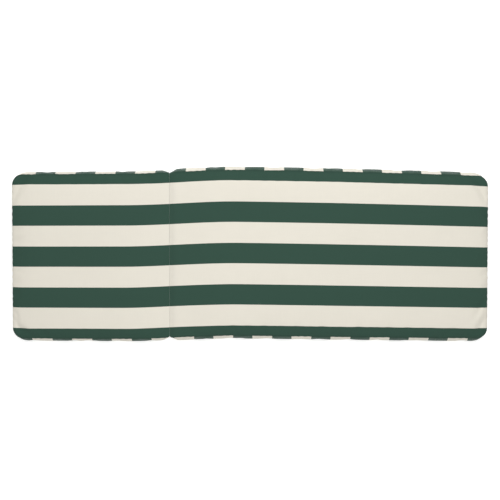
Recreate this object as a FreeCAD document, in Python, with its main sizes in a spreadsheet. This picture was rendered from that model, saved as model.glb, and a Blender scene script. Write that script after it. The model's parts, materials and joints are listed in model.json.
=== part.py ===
import FreeCAD, Part
import math
import os
import Sketcher
from FreeCAD import Placement, Rotation, Vector

# A hinged pad for a garden lounger or bench: a short back section and a long seat section,
# joined along their top seams by a strip of tape so that the back section lifts and folds over.
# Each section is a box-edged cushion. Its cover is a crowned top panel, a flat bottom panel, a
# boxing strip down each long side that wraps the corners, a wall at the hinge, and a zipped gusset
# across the far end. A block of foam between two sheets of wadding fills it.
#
# Millimetres. The origin is the bottom centre of the whole pad: +X runs from the head end to the
# foot end, +Y is the left side of someone who lies on it, and +Z is up.
#
# Both sections are drawn the same way, from the hinge line (x = 0) out to the far end
# (x = the section's length). The back section is then turned by half a turn about Z.

SIZES = (
    ("back_length", 628.0, "hinge line to the head end"),
    ("seat_length", 1272.0, "hinge line to the foot end"),
    ("pad_width", 660.0, "across both sections"),
    ("edge_height", 84.0, "underside to the top seam"),
    ("crown_rise", 12.0, "top seam up to the flat of the crown"),
    ("crown_run", 110.0, "edge to the flat of the crown, in plan"),
    ("outer_corner", 42.0, "plan radius at the far ends"),
    ("hinge_corner", 16.0, "plan radius beside the hinge"),
    ("hinge_gap", 2.0, "between the two sections' walls"),
    ("cloth", 1.0, "thickness of the cover's cloth"),
    ("fit_gap", 0.3, "between a cover and its filling, and round a tape"),
    ("wadding_bottom", 6.0, "sheet under the foam"),
    ("wadding_top", 11.0, "sheet over the foam, at its edge"),
    ("zip_recess", 7.0, "far end back to the face of the zip's tapes"),
    ("zip_opening", 16.0, "between the gusset's two free edges"),
    ("zip_end_room", 1.0, "straight end of the zip to the tip of its pull"),
    ("tape_width", 13.5, "one zip tape"),
    ("tape_thickness", 0.6, "one zip tape"),
    ("coil_width", 3.0, "one side's teeth"),
    ("coil_height", 2.2, "one side's teeth"),
    ("coil_slot", 1.0, "between the two sides' teeth"),
    ("stop_room", 3.0, "slider to the stop at each end of its travel"),
    ("stop_length", 3.0, "along the zip"),
    ("stop_lip", 0.4, "how far a stop stands above the teeth"),
    ("running_gap", 0.3, "between the slider, its pull and what they pass"),
    ("slider_length", 14.0, "along the zip"),
    ("slider_width", 11.0, "across the zip"),
    ("slider_front", 1.4, "front plate"),
    ("slider_back", 1.2, "back plate"),
    ("slider_web", 0.5, "the post between the plates"),
    ("slider_corner", 2.5, "corner radius of the plates"),
    ("filling_room", 0.9, "slider's back plate to the filling"),
    ("bridge_length", 9.0, "along the zip"),
    ("bridge_width", 2.4, "across the zip"),
    ("bridge_foot", 2.0, "each foot of the bridge, along the zip"),
    ("bridge_wall", 0.8, "over the crossbar"),
    ("neck_room", 0.7, "bridge to the shoulder of the pull"),
    ("pull_length", 27.0, "crossbar to the tip"),
    ("pull_width", 7.0, "across the tab"),
    ("pull_thickness", 1.2, "the tab, and its round crossbar"),
    ("pull_arm", 1.2, "width of each arm beside the bridge"),
    ("pull_corner", 2.8, "corner radius at the tip"),
    ("hinge_tape_radius", 0.7, "the rolled tape in the hinge seam"),
    ("label_width", 45.0, "the blank care label, across the pad"),
    ("label_height", 24.0, "the blank care label, down the gusset"),
    ("label_thickness", 0.4, "the blank care label"),
    ("label_rise", 1.0, "gusset's free edge up to the label"),
    ("label_across", 200.0, "centre of the pad to the label, to the right"),
)

# Where the two sections meet, and the height of the zips' middle line.
HINGE_X = "(Sizes.back_length - Sizes.seat_length) / 2"
ZIP_Z = "(Sizes.edge_height / 2)"

# The underside of the top panel's edge, and the upper face of the bottom panel.
SEAM_TOP = "(Sizes.edge_height - Sizes.cloth)"
SEAM_BOTTOM = "Sizes.cloth"

# Half of the straight stretch at the far end and at the hinge, between the corners.
FAR_HALF = "(Sizes.pad_width / 2 - Sizes.outer_corner)"
HINGE_HALF = "(Sizes.pad_width / 2 - Sizes.hinge_corner)"

# The slider's middle when its zip is closed, and the stops past both ends of its travel.
ZIP_CLOSED = f"({FAR_HALF} - Sizes.pull_length - Sizes.zip_end_room)"
STOP_AT = f"({ZIP_CLOSED} + Sizes.slider_length / 2 + Sizes.stop_room)"

START, END, CENTRE = 1, 2, 3  # the points of a sketch's line or arc
ORIGIN = (-1, 1)  # a sketch's own origin
ACROSS_AXIS, UP_AXIS = -1, -2  # a sketch's own axes

doc = FreeCAD.newDocument("lounger_pad")
pieces = []


class Section:
    """One cushion of the pad: its name, its length, its turn about Z and the names of its sides."""

    def __init__(self, name, turn, plus_y_side, minus_y_side):
        self.name = name
        self.turn = turn
        self.plus_y_side = plus_y_side  # the drawn +Y side, before the section is turned
        self.minus_y_side = minus_y_side
        self.sign = "-1" if turn else "1"
        self.length = f"Sizes.{name}_length"
        self.tape_face = f"({self.length} - Sizes.zip_recess)"
        self.slider_back_in = (
            f"({self.tape_face} - Sizes.tape_thickness - Sizes.running_gap)"
        )
        self.slider_back_out = f"({self.slider_back_in} - Sizes.slider_back)"
        self.slider_front_in = f"({self.tape_face} + Sizes.coil_height + Sizes.running_gap)"
        self.slider_front_out = f"({self.slider_front_in} + Sizes.slider_front)"
        self.pull_back = f"({self.slider_front_out} + Sizes.running_gap)"
        self.crossbar = f"({self.pull_back} + Sizes.pull_thickness / 2)"

    def body(self, label, across="0"):
        """A new body of this section, placed from the hinge line and moved across the pad."""
        body = new_body(f"{self.name}_{label}")
        body.Placement = Placement(Vector(), Rotation(Vector(0, 0, 1), self.turn))
        body.setExpression(".Placement.Base.x", HINGE_X)
        body.setExpression(".Placement.Base.y", f"{self.sign} * ({across})")
        return body


def write_sizes():
    sheet = doc.addObject("Spreadsheet::Sheet", "Sizes")
    for row, (alias, value, meaning) in enumerate(SIZES, 1):
        sheet.set(f"A{row}", alias)
        sheet.set(f"B{row}", str(value))
        sheet.set(f"C{row}", meaning)
        sheet.setAlias(f"B{row}", alias)
    doc.recompute()


def new_body(label):
    body = doc.addObject("PartDesign::Body", label)
    body.Label = label
    pieces.append(body)
    return body


def new_sketch(body, role, offset="0"):
    """A sketch on one of the body's own origin planes, moved along the plane's normal."""
    sketch = body.newObject("Sketcher::SketchObject", "outline")
    support = next(f for f in body.Origin.OriginFeatures if f.Role == role)
    sketch.AttachmentSupport = [(support, "")]
    sketch.MapMode = "FlatFace"
    sketch.setExpression("AttachmentOffset.Base.z", offset)
    return sketch


def dimension(sketch, name, kind, *where, size):
    """A driving dimension of a sketch, bound to an expression."""
    value = sketch.evalExpression(size)
    index = sketch.addConstraint(Sketcher.Constraint(kind, *where, value))
    sketch.renameConstraint(index, name)
    sketch.setExpression(f"Constraints.{name}", size)


def constrain(sketch, kind, *where):
    sketch.addConstraint(Sketcher.Constraint(kind, *where))


def polygon(sketch, corners):
    """Draws a closed straight-sided loop; each corner is a pair of expressions from the origin."""
    places = [Vector(sketch.evalExpression(a), sketch.evalExpression(b)) for a, b in corners]
    lines = [
        sketch.addGeometry(Part.LineSegment(here, there), False)
        for here, there in zip(places, places[1:] + places[:1])
    ]
    for line, following in zip(lines, lines[1:] + lines[:1]):
        constrain(sketch, "Coincident", line, END, following, START)
    for line, (a, b) in zip(lines, corners):
        dimension(sketch, f"a_{line}", "DistanceX", *ORIGIN, line, START, size=a)
        dimension(sketch, f"b_{line}", "DistanceY", *ORIGIN, line, START, size=b)


def rectangle(sketch, low, high):
    """Draws a rectangle between two corners, each a pair of expressions."""
    polygon(sketch, [low, (high[0], low[1]), high, (low[0], high[1])])


def circle(sketch, radius, on_axis, kind, distance):
    """Draws a circle whose centre is on one of the sketch's axes, a distance along it."""
    place = sketch.evalExpression(distance)
    centre = Vector(place, 0) if kind == "DistanceX" else Vector(0, place)
    ring = Part.Circle(centre, Vector(0, 0, 1), sketch.evalExpression(radius))
    index = sketch.addGeometry(ring, False)
    constrain(sketch, "PointOnObject", index, CENTRE, on_axis)
    dimension(sketch, "radius", "Radius", index, size=radius)
    dimension(sketch, "place", kind, *ORIGIN, index, CENTRE, size=distance)


def arc(sketch, x, y, radius, quarter):
    """Adds a quarter of a circle; quarter 0 runs from the +X to the +Y direction."""
    whole = Part.Circle(Vector(x, y), Vector(0, 0, 1), radius)
    turn = quarter * math.pi / 2
    return sketch.addGeometry(Part.ArcOfCircle(whole, turn, turn + math.pi / 2), False)


def line(sketch, x0, y0, x1, y1):
    return sketch.addGeometry(Part.LineSegment(Vector(x0, y0), Vector(x1, y1)), False)


def rounded_outline(sketch, near, far, half, hinge_corner, outer_corner):
    """Draws a cushion's plan: near and far are its ends along X, half is half of its width."""
    x0, x1, y, r0, r1 = (
        sketch.evalExpression(e) for e in (near, far, half, hinge_corner, outer_corner)
    )
    loop = [
        line(sketch, x0 + r0, -y, x1 - r1, -y),
        arc(sketch, x1 - r1, -y + r1, r1, 3),
        line(sketch, x1, -y + r1, x1, y - r1),
        arc(sketch, x1 - r1, y - r1, r1, 0),
        line(sketch, x1 - r1, y, x0 + r0, y),
        arc(sketch, x0 + r0, y - r0, r0, 1),
        line(sketch, x0, y - r0, x0, -y + r0),
        arc(sketch, x0 + r0, -y + r0, r0, 2),
    ]
    for piece, following in zip(loop, loop[1:] + loop[:1]):
        constrain(sketch, "Tangent", piece, END, following, START)
    right, far_low, end, far_high, left, near_high, start, near_low = loop
    for level in (right, left):
        constrain(sketch, "Horizontal", level)
    for upright in (end, start):
        constrain(sketch, "Vertical", upright)
    constrain(sketch, "Equal", far_low, far_high)
    constrain(sketch, "Equal", near_low, near_high)
    dimension(sketch, "hinge_radius", "Radius", near_high, size=hinge_corner)
    dimension(sketch, "outer_radius", "Radius", far_high, size=outer_corner)
    dimension(sketch, "near_end", "DistanceX", *ORIGIN, start, START, size=near)
    dimension(sketch, "far_end", "DistanceX", *ORIGIN, end, START, size=far)
    dimension(sketch, "half_left", "DistanceY", *ORIGIN, left, START, size=half)
    dimension(sketch, "half_right", "DistanceY", right, START, *ORIGIN, size=half)


def strip_outline(sketch, near, far, half, hinge_corner, outer_corner, thickness):
    """Draws a strip of cloth in plan: down the +Y side and round both of its corners."""
    x0, x1, y, r0, r1, t = (
        sketch.evalExpression(e)
        for e in (near, far, half, hinge_corner, outer_corner, thickness)
    )
    outer_far = arc(sketch, x1 - r1, y - r1, r1, 0)
    outer_side = line(sketch, x1 - r1, y, x0 + r0, y)
    outer_near = arc(sketch, x0 + r0, y - r0, r0, 1)
    near_end = line(sketch, x0, y - r0, x0 + t, y - r0)
    inner_near = arc(sketch, x0 + r0, y - r0, r0 - t, 1)
    inner_side = line(sketch, x0 + r0, y - t, x1 - r1, y - t)
    inner_far = arc(sketch, x1 - r1, y - r1, r1 - t, 0)
    far_end = line(sketch, x1 - t, y - r1, x1, y - r1)
    constrain(sketch, "Tangent", outer_far, END, outer_side, START)
    constrain(sketch, "Tangent", outer_side, END, outer_near, START)
    constrain(sketch, "Tangent", inner_near, START, inner_side, START)
    constrain(sketch, "Tangent", inner_side, END, inner_far, END)
    constrain(sketch, "Coincident", outer_near, END, near_end, START)
    constrain(sketch, "Coincident", near_end, END, inner_near, END)
    constrain(sketch, "Coincident", inner_far, START, far_end, START)
    constrain(sketch, "Coincident", far_end, END, outer_far, START)
    constrain(sketch, "Coincident", outer_near, CENTRE, inner_near, CENTRE)
    constrain(sketch, "Coincident", outer_far, CENTRE, inner_far, CENTRE)
    for level in (outer_side, inner_side, near_end, far_end):
        constrain(sketch, "Horizontal", level)
    constrain(sketch, "Horizontal", outer_near, CENTRE, outer_near, END)
    constrain(sketch, "Horizontal", outer_far, CENTRE, outer_far, START)
    dimension(sketch, "hinge_radius", "Radius", outer_near, size=hinge_corner)
    dimension(sketch, "outer_radius", "Radius", outer_far, size=outer_corner)
    dimension(sketch, "near_end", "DistanceX", *ORIGIN, outer_near, END, size=near)
    dimension(sketch, "far_end", "DistanceX", *ORIGIN, outer_far, START, size=far)
    dimension(sketch, "side", "DistanceY", *ORIGIN, outer_side, START, size=half)
    dimension(
        sketch, "thickness", "DistanceY", inner_side, START, outer_side, END, size=thickness
    )


def pad(body, sketch, length, both_ways=False):
    """Thickens a sketch along its normal, or to both sides of its plane."""
    feature = body.newObject("PartDesign::Pad", "thickness")
    feature.Profile = sketch
    feature.SideType = "Symmetric" if both_ways else "One side"
    feature.setExpression("Length", length)
    return feature


def loft(body, kind, sketches):
    """A straight-sided solid through sketches at rising heights."""
    doc.recompute()
    feature = body.newObject(kind, "crown")
    feature.Profile = sketches[0]
    feature.Sections = sketches[1:]
    feature.Ruled = True
    return feature


def round_edges(body, feature, radius, wanted):
    """Rounds the feature's straight edges whose middle the function wanted accepts."""
    doc.recompute()
    names = [
        f"Edge{number}"
        for number, edge in enumerate(feature.Shape.Edges, 1)
        if len(edge.Vertexes) == 2 and wanted(edge, edge.valueAt(sum(edge.ParameterRange) / 2))
    ]
    fillet = body.newObject("PartDesign::Fillet", "rounding")
    fillet.Base = (feature, names)
    fillet.setExpression("Radius", radius)


def mirrored(source, label):
    """The same piece on the other side of the pad's middle."""
    piece = doc.addObject("Part::Mirroring", label)
    piece.Label = label
    piece.Source = source
    piece.Normal = Vector(0, 1, 0)
    pieces.append(piece)


def value(expression):
    return doc.Sizes.evalExpression(expression.replace("Sizes.", ""))


# The cover.

COVER_PLAN = ("Sizes.hinge_gap / 2", "Sizes.pad_width / 2")


def cover_plan(section, body, height, inset="0"):
    """The cover's plan at a height, drawn in from its edge by an inset."""
    near, half = COVER_PLAN
    sketch = new_sketch(body, "XY_Plane", height)
    rounded_outline(
        sketch,
        f"{near} + {inset}",
        f"{section.length} - {inset}",
        f"{half} - {inset}",
        "Sizes.hinge_corner",
        "Sizes.outer_corner",
    )
    return sketch


def top_panel(section):
    """Cloth that rises from the top seam to a flat crown, one cloth thick all over."""
    body = section.body("top_panel")
    crown = f"{SEAM_TOP} + Sizes.crown_rise"
    outside = [
        cover_plan(section, body, SEAM_TOP),
        cover_plan(section, body, "Sizes.edge_height"),
        cover_plan(section, body, f"{crown} + Sizes.cloth", "Sizes.crown_run"),
    ]
    loft(body, "PartDesign::AdditiveLoft", outside)
    inside = [
        cover_plan(section, body, SEAM_TOP),
        cover_plan(section, body, crown, "Sizes.crown_run"),
    ]
    loft(body, "PartDesign::SubtractiveLoft", inside)


def bottom_panel(section):
    body = section.body("bottom_panel")
    pad(body, cover_plan(section, body, "0"), "Sizes.cloth")


def boxing(section):
    """The strip between the two panels, down each long side and round its corners."""
    near, half = COVER_PLAN
    body = section.body(f"boxing_{section.plus_y_side}")
    sketch = new_sketch(body, "XY_Plane", SEAM_BOTTOM)
    corners = ("Sizes.hinge_corner", "Sizes.outer_corner")
    strip_outline(sketch, near, section.length, half, *corners, "Sizes.cloth")
    pad(body, sketch, f"{SEAM_TOP} - {SEAM_BOTTOM}")
    mirrored(body, f"{section.name}_boxing_{section.minus_y_side}")


def hinge_wall(section):
    """The wall between the corners, beside the other section."""
    body = section.body("hinge_wall")
    near, _ = COVER_PLAN
    sketch = new_sketch(body, "XZ_Plane")
    rectangle(sketch, (near, SEAM_BOTTOM), (f"{near} + Sizes.cloth", SEAM_TOP))
    pad(body, sketch, f"2 * {HINGE_HALF}", both_ways=True)


# The filling.


def filling_plan(section, body, height):
    """The plan of the foam and the wadding, clear of the cover all round."""
    skin = "(Sizes.cloth + Sizes.fit_gap)"
    near, half = COVER_PLAN
    sketch = new_sketch(body, "XY_Plane", height)
    rounded_outline(
        sketch,
        f"{near} + {skin}",
        f"{section.slider_back_out} - Sizes.filling_room",
        f"{half} - {skin}",
        f"Sizes.hinge_corner - {skin}",
        f"Sizes.outer_corner - {skin}",
    )
    return sketch


FOAM_BOTTOM = f"({SEAM_BOTTOM} + Sizes.wadding_bottom)"
FOAM_TOP = f"({SEAM_TOP} - Sizes.wadding_top)"


def bottom_wadding(section):
    body = section.body("bottom_wadding")
    pad(body, filling_plan(section, body, SEAM_BOTTOM), "Sizes.wadding_bottom")


def foam_core(section):
    body = section.body("foam_core")
    pad(body, filling_plan(section, body, FOAM_BOTTOM), f"{FOAM_TOP} - {FOAM_BOTTOM}")


def top_wadding(section):
    """The sheet that makes the crown: it follows the top panel, a small gap below it."""
    body = section.body("top_wadding")
    edge = f"{SEAM_TOP} - Sizes.fit_gap"
    sketches = [
        filling_plan(section, body, FOAM_TOP),
        filling_plan(section, body, edge),
        cover_plan(section, body, f"{edge} + Sizes.crown_rise", "Sizes.crown_run"),
    ]
    loft(body, "PartDesign::AdditiveLoft", sketches)


# The zipped far end.


def gusset(section, label, seam, free_edge):
    """A strip that leans in from a seam at the far end to the zip's tape."""
    body = section.body(label)
    sketch = new_sketch(body, "XZ_Plane")
    corners = [
        (section.length, seam),
        (f"{section.length} - Sizes.cloth", seam),
        (section.tape_face, free_edge),
        (f"{section.tape_face} + Sizes.cloth", free_edge),
    ]
    polygon(sketch, corners)
    pad(body, sketch, f"2 * {FAR_HALF}", both_ways=True)


def zip_gussets(section):
    gusset(section, "zip_gusset_upper", SEAM_TOP, f"{ZIP_Z} + Sizes.zip_opening / 2")
    gusset(section, "zip_gusset_lower", SEAM_BOTTOM, f"{ZIP_Z} - Sizes.zip_opening / 2")


def zip_pair(section, label, back, front, width, length):
    """Two straight strips, one each side of the zip's slot."""
    body = section.body(label)
    sketch = new_sketch(body, "XZ_Plane")
    for side in ("+", "-"):
        near = f"{ZIP_Z} {side} Sizes.coil_slot / 2"
        rectangle(sketch, (back, near), (front, f"{near} {side} {width}"))
    pad(body, sketch, length, both_ways=True)


def zip_tapes(section):
    back = f"{section.tape_face} - Sizes.tape_thickness"
    length = f"2 * {FAR_HALF}"
    zip_pair(section, "zip_tapes", back, section.tape_face, "Sizes.tape_width", length)


def zip_coils(section):
    front = f"{section.tape_face} + Sizes.coil_height"
    length = f"2 * {STOP_AT}"
    zip_pair(section, "zip_coils", section.tape_face, front, "Sizes.coil_width", length)


def zip_stops(section):
    """Two small stops where the zip closes, and one across both sides where it opens."""
    body = section.body("zip_stops")
    sketch = new_sketch(body, "YZ_Plane", section.tape_face)
    reach = f"{STOP_AT} + Sizes.stop_length"
    for side in ("+", "-"):
        near = f"{ZIP_Z} {side} Sizes.coil_slot / 2"
        rectangle(sketch, (STOP_AT, near), (reach, f"{near} {side} Sizes.coil_width"))
    half = "(Sizes.coil_slot / 2 + Sizes.coil_width)"
    rectangle(sketch, (f"-({reach})", f"{ZIP_Z} - {half}"), (f"-{STOP_AT}", f"{ZIP_Z} + {half}"))
    pad(body, sketch, "Sizes.coil_height + Sizes.stop_lip")


def zip_slider(section):
    """Two plates joined by a post that runs in the slot, with flanges outside the teeth."""
    body = section.body("zip_slider", ZIP_CLOSED)
    flange_tip = f"{section.tape_face} + Sizes.running_gap"
    half = "Sizes.slider_width / 2"
    post = "Sizes.slider_web / 2"
    flange = "(Sizes.coil_slot / 2 + Sizes.coil_width + Sizes.running_gap)"
    # One side of the section through the slider, from its back plate to its front plate.
    profile = [
        (section.slider_back_out, half),
        (section.slider_back_in, half),
        (section.slider_back_in, post),
        (section.slider_front_in, post),
        (section.slider_front_in, flange),
        (flange_tip, flange),
        (flange_tip, half),
        (section.slider_front_out, half),
    ]
    lower = [(x, f"{ZIP_Z} - {z}") for x, z in profile]
    upper = [(x, f"{ZIP_Z} + {z}") for x, z in reversed(profile)]
    sketch = new_sketch(body, "XZ_Plane")
    polygon(sketch, lower + upper)
    plates = pad(body, sketch, "Sizes.slider_length", both_ways=True)
    end, edge = value("Sizes.slider_length") / 2, value("Sizes.slider_width") / 2
    middle = value(ZIP_Z)
    round_edges(
        body,
        plates,
        "Sizes.slider_corner",
        lambda _, at: abs(abs(at.y) - end) < 1e-6 and abs(abs(at.z - middle) - edge) < 1e-6,
    )
    slider_bridge(section, body)


def slider_bridge(section, body):
    """The arch on the front plate that holds the pull's crossbar."""
    sketch = new_sketch(body, "XY_Plane", ZIP_Z)
    root = f"{section.slider_front_out} - Sizes.slider_front / 2"
    under = f"{section.pull_back} + Sizes.pull_thickness + Sizes.running_gap"
    over = f"{under} + Sizes.bridge_wall"
    end = "Sizes.bridge_length / 2"
    foot = f"({end} - Sizes.bridge_foot)"
    corners = [
        (root, f"-{end}"),
        (over, f"-{end}"),
        (over, end),
        (root, end),
        (root, foot),
        (under, foot),
        (under, f"-{foot}"),
        (root, f"-{foot}"),
    ]
    polygon(sketch, corners)
    pad(body, sketch, "Sizes.bridge_width", both_ways=True)


def zip_pull(section):
    """A flat tab with two arms that hold a round crossbar under the slider's bridge."""
    body = section.body("zip_pull", ZIP_CLOSED)
    arm_in = "(Sizes.bridge_width / 2 + Sizes.running_gap)"
    arm_out = f"({arm_in} + Sizes.pull_arm)"
    head = "Sizes.pull_thickness / 4"
    shoulder = "-(Sizes.bridge_length / 2 + Sizes.neck_room)"
    tip = "-Sizes.pull_length"
    half = "Sizes.pull_width / 2"
    # One side of the tab's outline, from the inside of an arm to the tip.
    profile = [
        (shoulder, arm_in),
        (head, arm_in),
        (head, arm_out),
        (shoulder, arm_out),
        (shoulder, half),
        (tip, half),
    ]
    upper = [(y, f"{ZIP_Z} + {z}") for y, z in profile]
    lower = [(y, f"{ZIP_Z} - {z}") for y, z in reversed(profile)]
    sketch = new_sketch(body, "YZ_Plane", section.pull_back)
    polygon(sketch, upper + lower)
    tab = pad(body, sketch, "Sizes.pull_thickness")
    end = value("Sizes.pull_length")
    round_edges(
        body,
        tab,
        "Sizes.pull_corner",
        lambda edge, at: abs(at.y + end) < 1e-6 and edge.BoundBox.ZLength < 1e-6,
    )
    bar = new_sketch(body, "XY_Plane", ZIP_Z)
    circle(bar, "Sizes.pull_thickness / 2", ACROSS_AXIS, "DistanceX", section.crossbar)
    pad(body, bar, f"2 * {arm_out}", both_ways=True)


# The seam between the sections, and the label.


def hinge_tape():
    """The rolled tape in the hinge seam, on the line that the back section folds about."""
    body = new_body("hinge_tape")
    body.setExpression(".Placement.Base.x", HINGE_X)
    sketch = new_sketch(body, "XZ_Plane")
    circle(sketch, "Sizes.hinge_tape_radius", UP_AXIS, "DistanceY", "Sizes.edge_height")
    pad(body, sketch, f"2 * {HINGE_HALF}", both_ways=True)


def care_label(section):
    """A blank label sewn flat to the upper gusset of the head end."""
    body = section.body("care_label", "Sizes.label_across")
    free_edge = f"({ZIP_Z} + Sizes.zip_opening / 2)"

    def face(height):
        """The gusset's outer face at a height."""
        lean = f"(Sizes.zip_recess - Sizes.cloth) / ({SEAM_TOP} - {free_edge})"
        return f"({section.length} - ({SEAM_TOP} - ({height})) * {lean})"

    bottom = f"({free_edge} + Sizes.label_rise)"
    top = f"({bottom} + Sizes.label_height)"
    inner, outer = "Sizes.fit_gap", "(Sizes.fit_gap + Sizes.label_thickness)"
    sketch = new_sketch(body, "XZ_Plane")
    corners = [
        (f"{face(bottom)} + {inner}", bottom),
        (f"{face(bottom)} + {outer}", bottom),
        (f"{face(top)} + {outer}", top),
        (f"{face(top)} + {inner}", top),
    ]
    polygon(sketch, corners)
    pad(body, sketch, "Sizes.label_width", both_ways=True)


def check_document():
    """Stops if anything failed to build, or if a piece isn't a valid solid."""
    doc.recompute()
    for thing in doc.Objects:
        if "Invalid" in thing.State or "Error" in thing.State:
            raise RuntimeError(f"{thing.Label} failed: {thing.State}")
        if thing.TypeId == "Sketcher::SketchObject" and not thing.FullyConstrained:
            raise RuntimeError(f"{thing.Label} isn't fully constrained")
    for piece in pieces:
        shape = piece.Shape
        if shape.isNull() or not shape.isValid() or not shape.Solids:
            raise RuntimeError(f"{piece.Label} isn't a valid solid")


write_sizes()
SECTIONS = (Section("seat", 0, "left", "right"), Section("back", 180, "right", "left"))
MAKERS = (
    top_panel,
    bottom_panel,
    boxing,
    hinge_wall,
    bottom_wadding,
    foam_core,
    top_wadding,
    zip_gussets,
    zip_tapes,
    zip_coils,
    zip_stops,
    zip_slider,
    zip_pull,
)
for part_section in SECTIONS:
    for make in MAKERS:
        make(part_section)
care_label(SECTIONS[1])
hinge_tape()
check_document()

os.makedirs("parts", exist_ok=True)
for piece in pieces:
    piece.Shape.exportStep(f"parts/{piece.Label}.step")
    box = piece.Shape.BoundBox
    print(
        f"{piece.Label}: {len(piece.Shape.Solids)} solid(s), {piece.Shape.Volume:.0f} mm3,",
        f"x {box.XMin:.1f} to {box.XMax:.1f}, y {box.YMin:.1f} to {box.YMax:.1f},",
        f"z {box.ZMin:.1f} to {box.ZMax:.1f}",
    )
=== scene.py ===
# %% [markdown]
# # A hinged pad for a garden lounger
# The pad is two box-edged cushions, a short back and a long seat, joined along their top seams.
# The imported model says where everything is, so it is loaded first, and every size below is read
# from it. All lengths are in metres: +X runs from the head to the foot, +Y to the left, +Z up.

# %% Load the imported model
import json

import bpy
import numpy as np
from mathutils import Matrix, Vector
from mathutils.bvhtree import BVHTree


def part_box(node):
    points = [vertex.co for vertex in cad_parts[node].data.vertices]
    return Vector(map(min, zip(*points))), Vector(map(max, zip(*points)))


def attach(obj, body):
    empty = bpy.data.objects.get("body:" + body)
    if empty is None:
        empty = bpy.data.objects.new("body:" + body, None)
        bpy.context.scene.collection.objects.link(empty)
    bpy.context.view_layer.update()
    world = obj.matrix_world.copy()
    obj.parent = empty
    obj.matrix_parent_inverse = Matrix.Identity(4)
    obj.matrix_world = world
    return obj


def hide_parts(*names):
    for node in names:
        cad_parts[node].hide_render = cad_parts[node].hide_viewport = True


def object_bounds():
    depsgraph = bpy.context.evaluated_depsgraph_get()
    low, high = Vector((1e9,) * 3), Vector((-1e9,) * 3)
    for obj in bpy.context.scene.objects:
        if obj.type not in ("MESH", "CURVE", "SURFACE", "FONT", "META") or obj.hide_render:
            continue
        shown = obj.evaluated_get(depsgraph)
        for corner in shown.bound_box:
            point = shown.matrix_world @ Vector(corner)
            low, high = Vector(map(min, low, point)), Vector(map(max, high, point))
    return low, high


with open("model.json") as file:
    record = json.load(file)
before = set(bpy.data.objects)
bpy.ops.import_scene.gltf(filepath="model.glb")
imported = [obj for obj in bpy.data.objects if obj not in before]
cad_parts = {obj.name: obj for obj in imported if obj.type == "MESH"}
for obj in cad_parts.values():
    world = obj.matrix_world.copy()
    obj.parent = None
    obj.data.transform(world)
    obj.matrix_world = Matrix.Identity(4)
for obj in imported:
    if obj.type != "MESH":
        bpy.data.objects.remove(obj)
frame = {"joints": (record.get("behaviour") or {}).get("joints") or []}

CAD_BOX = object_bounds()
MM = 0.001
print("packed box, in metres:", [tuple(round(v, 4) for v in corner) for corner in CAD_BOX])

# %% [markdown]
# ## Sizes
# A cushion is cut to its seams, so the sizes that matter are where the seams lie. The fold joint
# gives the height of the top seam and the line where the sections meet. The zip's pieces give the
# depth of the recess at each far end, and the corners' radii follow from how far the straight
# pieces reach. At the hinge the wadding pushes the small corners out, to half their cut radius.
# Reading the sizes here, once, keeps the cloth on the solids if the model changes.

# %% Sizes read from the model
FOLD = next(joint for joint in frame["joints"] if joint["name"] == "back_fold")
HINGE_X, _, SEAM_Z = FOLD["pos_m"]
HALF_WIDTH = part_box("seat_top_panel")[1].y
GUSSET_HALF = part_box("seat_zip_gusset_upper")[1].y
OUTER_RADIUS = HALF_WIDTH - GUSSET_HALF
HINGE_RADIUS = (HALF_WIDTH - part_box("seat_hinge_wall")[1].y) / 2
HINGE_WALL_HALF = HALF_WIDTH - HINGE_RADIUS
HINGE_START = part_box("seat_top_panel")[0].x - HINGE_X
CROWN_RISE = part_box("seat_top_panel")[1].z - SEAM_Z
ZIP_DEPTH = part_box("seat_top_panel")[1].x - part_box("seat_zip_tapes")[1].x
TAPE_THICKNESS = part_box("seat_zip_tapes")[1].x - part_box("seat_zip_tapes")[0].x
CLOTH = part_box("seat_bottom_panel")[1].z
ZIP_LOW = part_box("seat_zip_gusset_lower")[1].z
ZIP_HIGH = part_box("seat_zip_gusset_upper")[0].z
ZIP_Z = (ZIP_LOW + ZIP_HIGH) / 2
print(f"seam {SEAM_Z / MM:.0f} mm high, corners {OUTER_RADIUS / MM:.0f} and {HINGE_RADIUS / MM:.0f} mm")

# %% [markdown]
# ## Two sections from one drawing
# Both cushions are made by the same functions, in a frame that starts at the hinge line and runs
# out to the far end. The seat is placed as it is drawn. The back is turned by half a turn about
# the vertical, which keeps its faces pointing outwards, as a mirror wouldn't.

# %% The sections
class Section:
    """One cushion: its length from the hinge line, the way it points, and how its cloth lies."""

    def __init__(self, name, points, start, bulges, first_stripe, ease):
        """Points is +1 where the far end is towards +X, and -1 where it is towards -X."""
        self.name = name
        self.points = points
        low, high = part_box(f"{name}_top_panel")
        self.start = start
        self.length = (high.x - HINGE_X) if points > 0 else (HINGE_X - low.x)
        self.bulges = bulges
        self.first_stripe = first_stripe
        self.ease = ease

    def place(self, drawn):
        """Takes points from the drawing's frame to the pad's."""
        placed = np.array(drawn, float)
        placed[..., 0] = HINGE_X + self.points * placed[..., 0]
        placed[..., 1] *= self.points
        return placed


# Start is where the cloth begins, from the hinge line: the back's edge is pulled close to the seam
# and the seat's leaves a small groove. Bulges and first stripes are for the drawn +Y side, then
# the drawn -Y side: how far the strip bellies out, and where its first green stripe has its
# middle. Ease is how much of the strip's cloth is gathered in.
SEAT = Section("seat", 1, 0.55 * MM, (13 * MM, 14.5 * MM), (27 * MM, -20.5 * MM), 1.045)
BACK = Section("back", -1, 0.35 * MM, (12 * MM, 9.5 * MM), (-47 * MM, 17 * MM), 1.028)
SECTIONS = (SEAT, BACK)
for section in SECTIONS:
    print(f"{section.name}: {section.length / MM:.0f} mm from the hinge to its far end")

# %% [markdown]
# ## Putting arrays into a mesh
# Every new shape below ends as an array of points and an array of faces. One helper makes the
# mesh object, always at the origin with its place in its points, because the export puts every
# object there. UVs are given per face corner, so a pattern can break at a seam.

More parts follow.
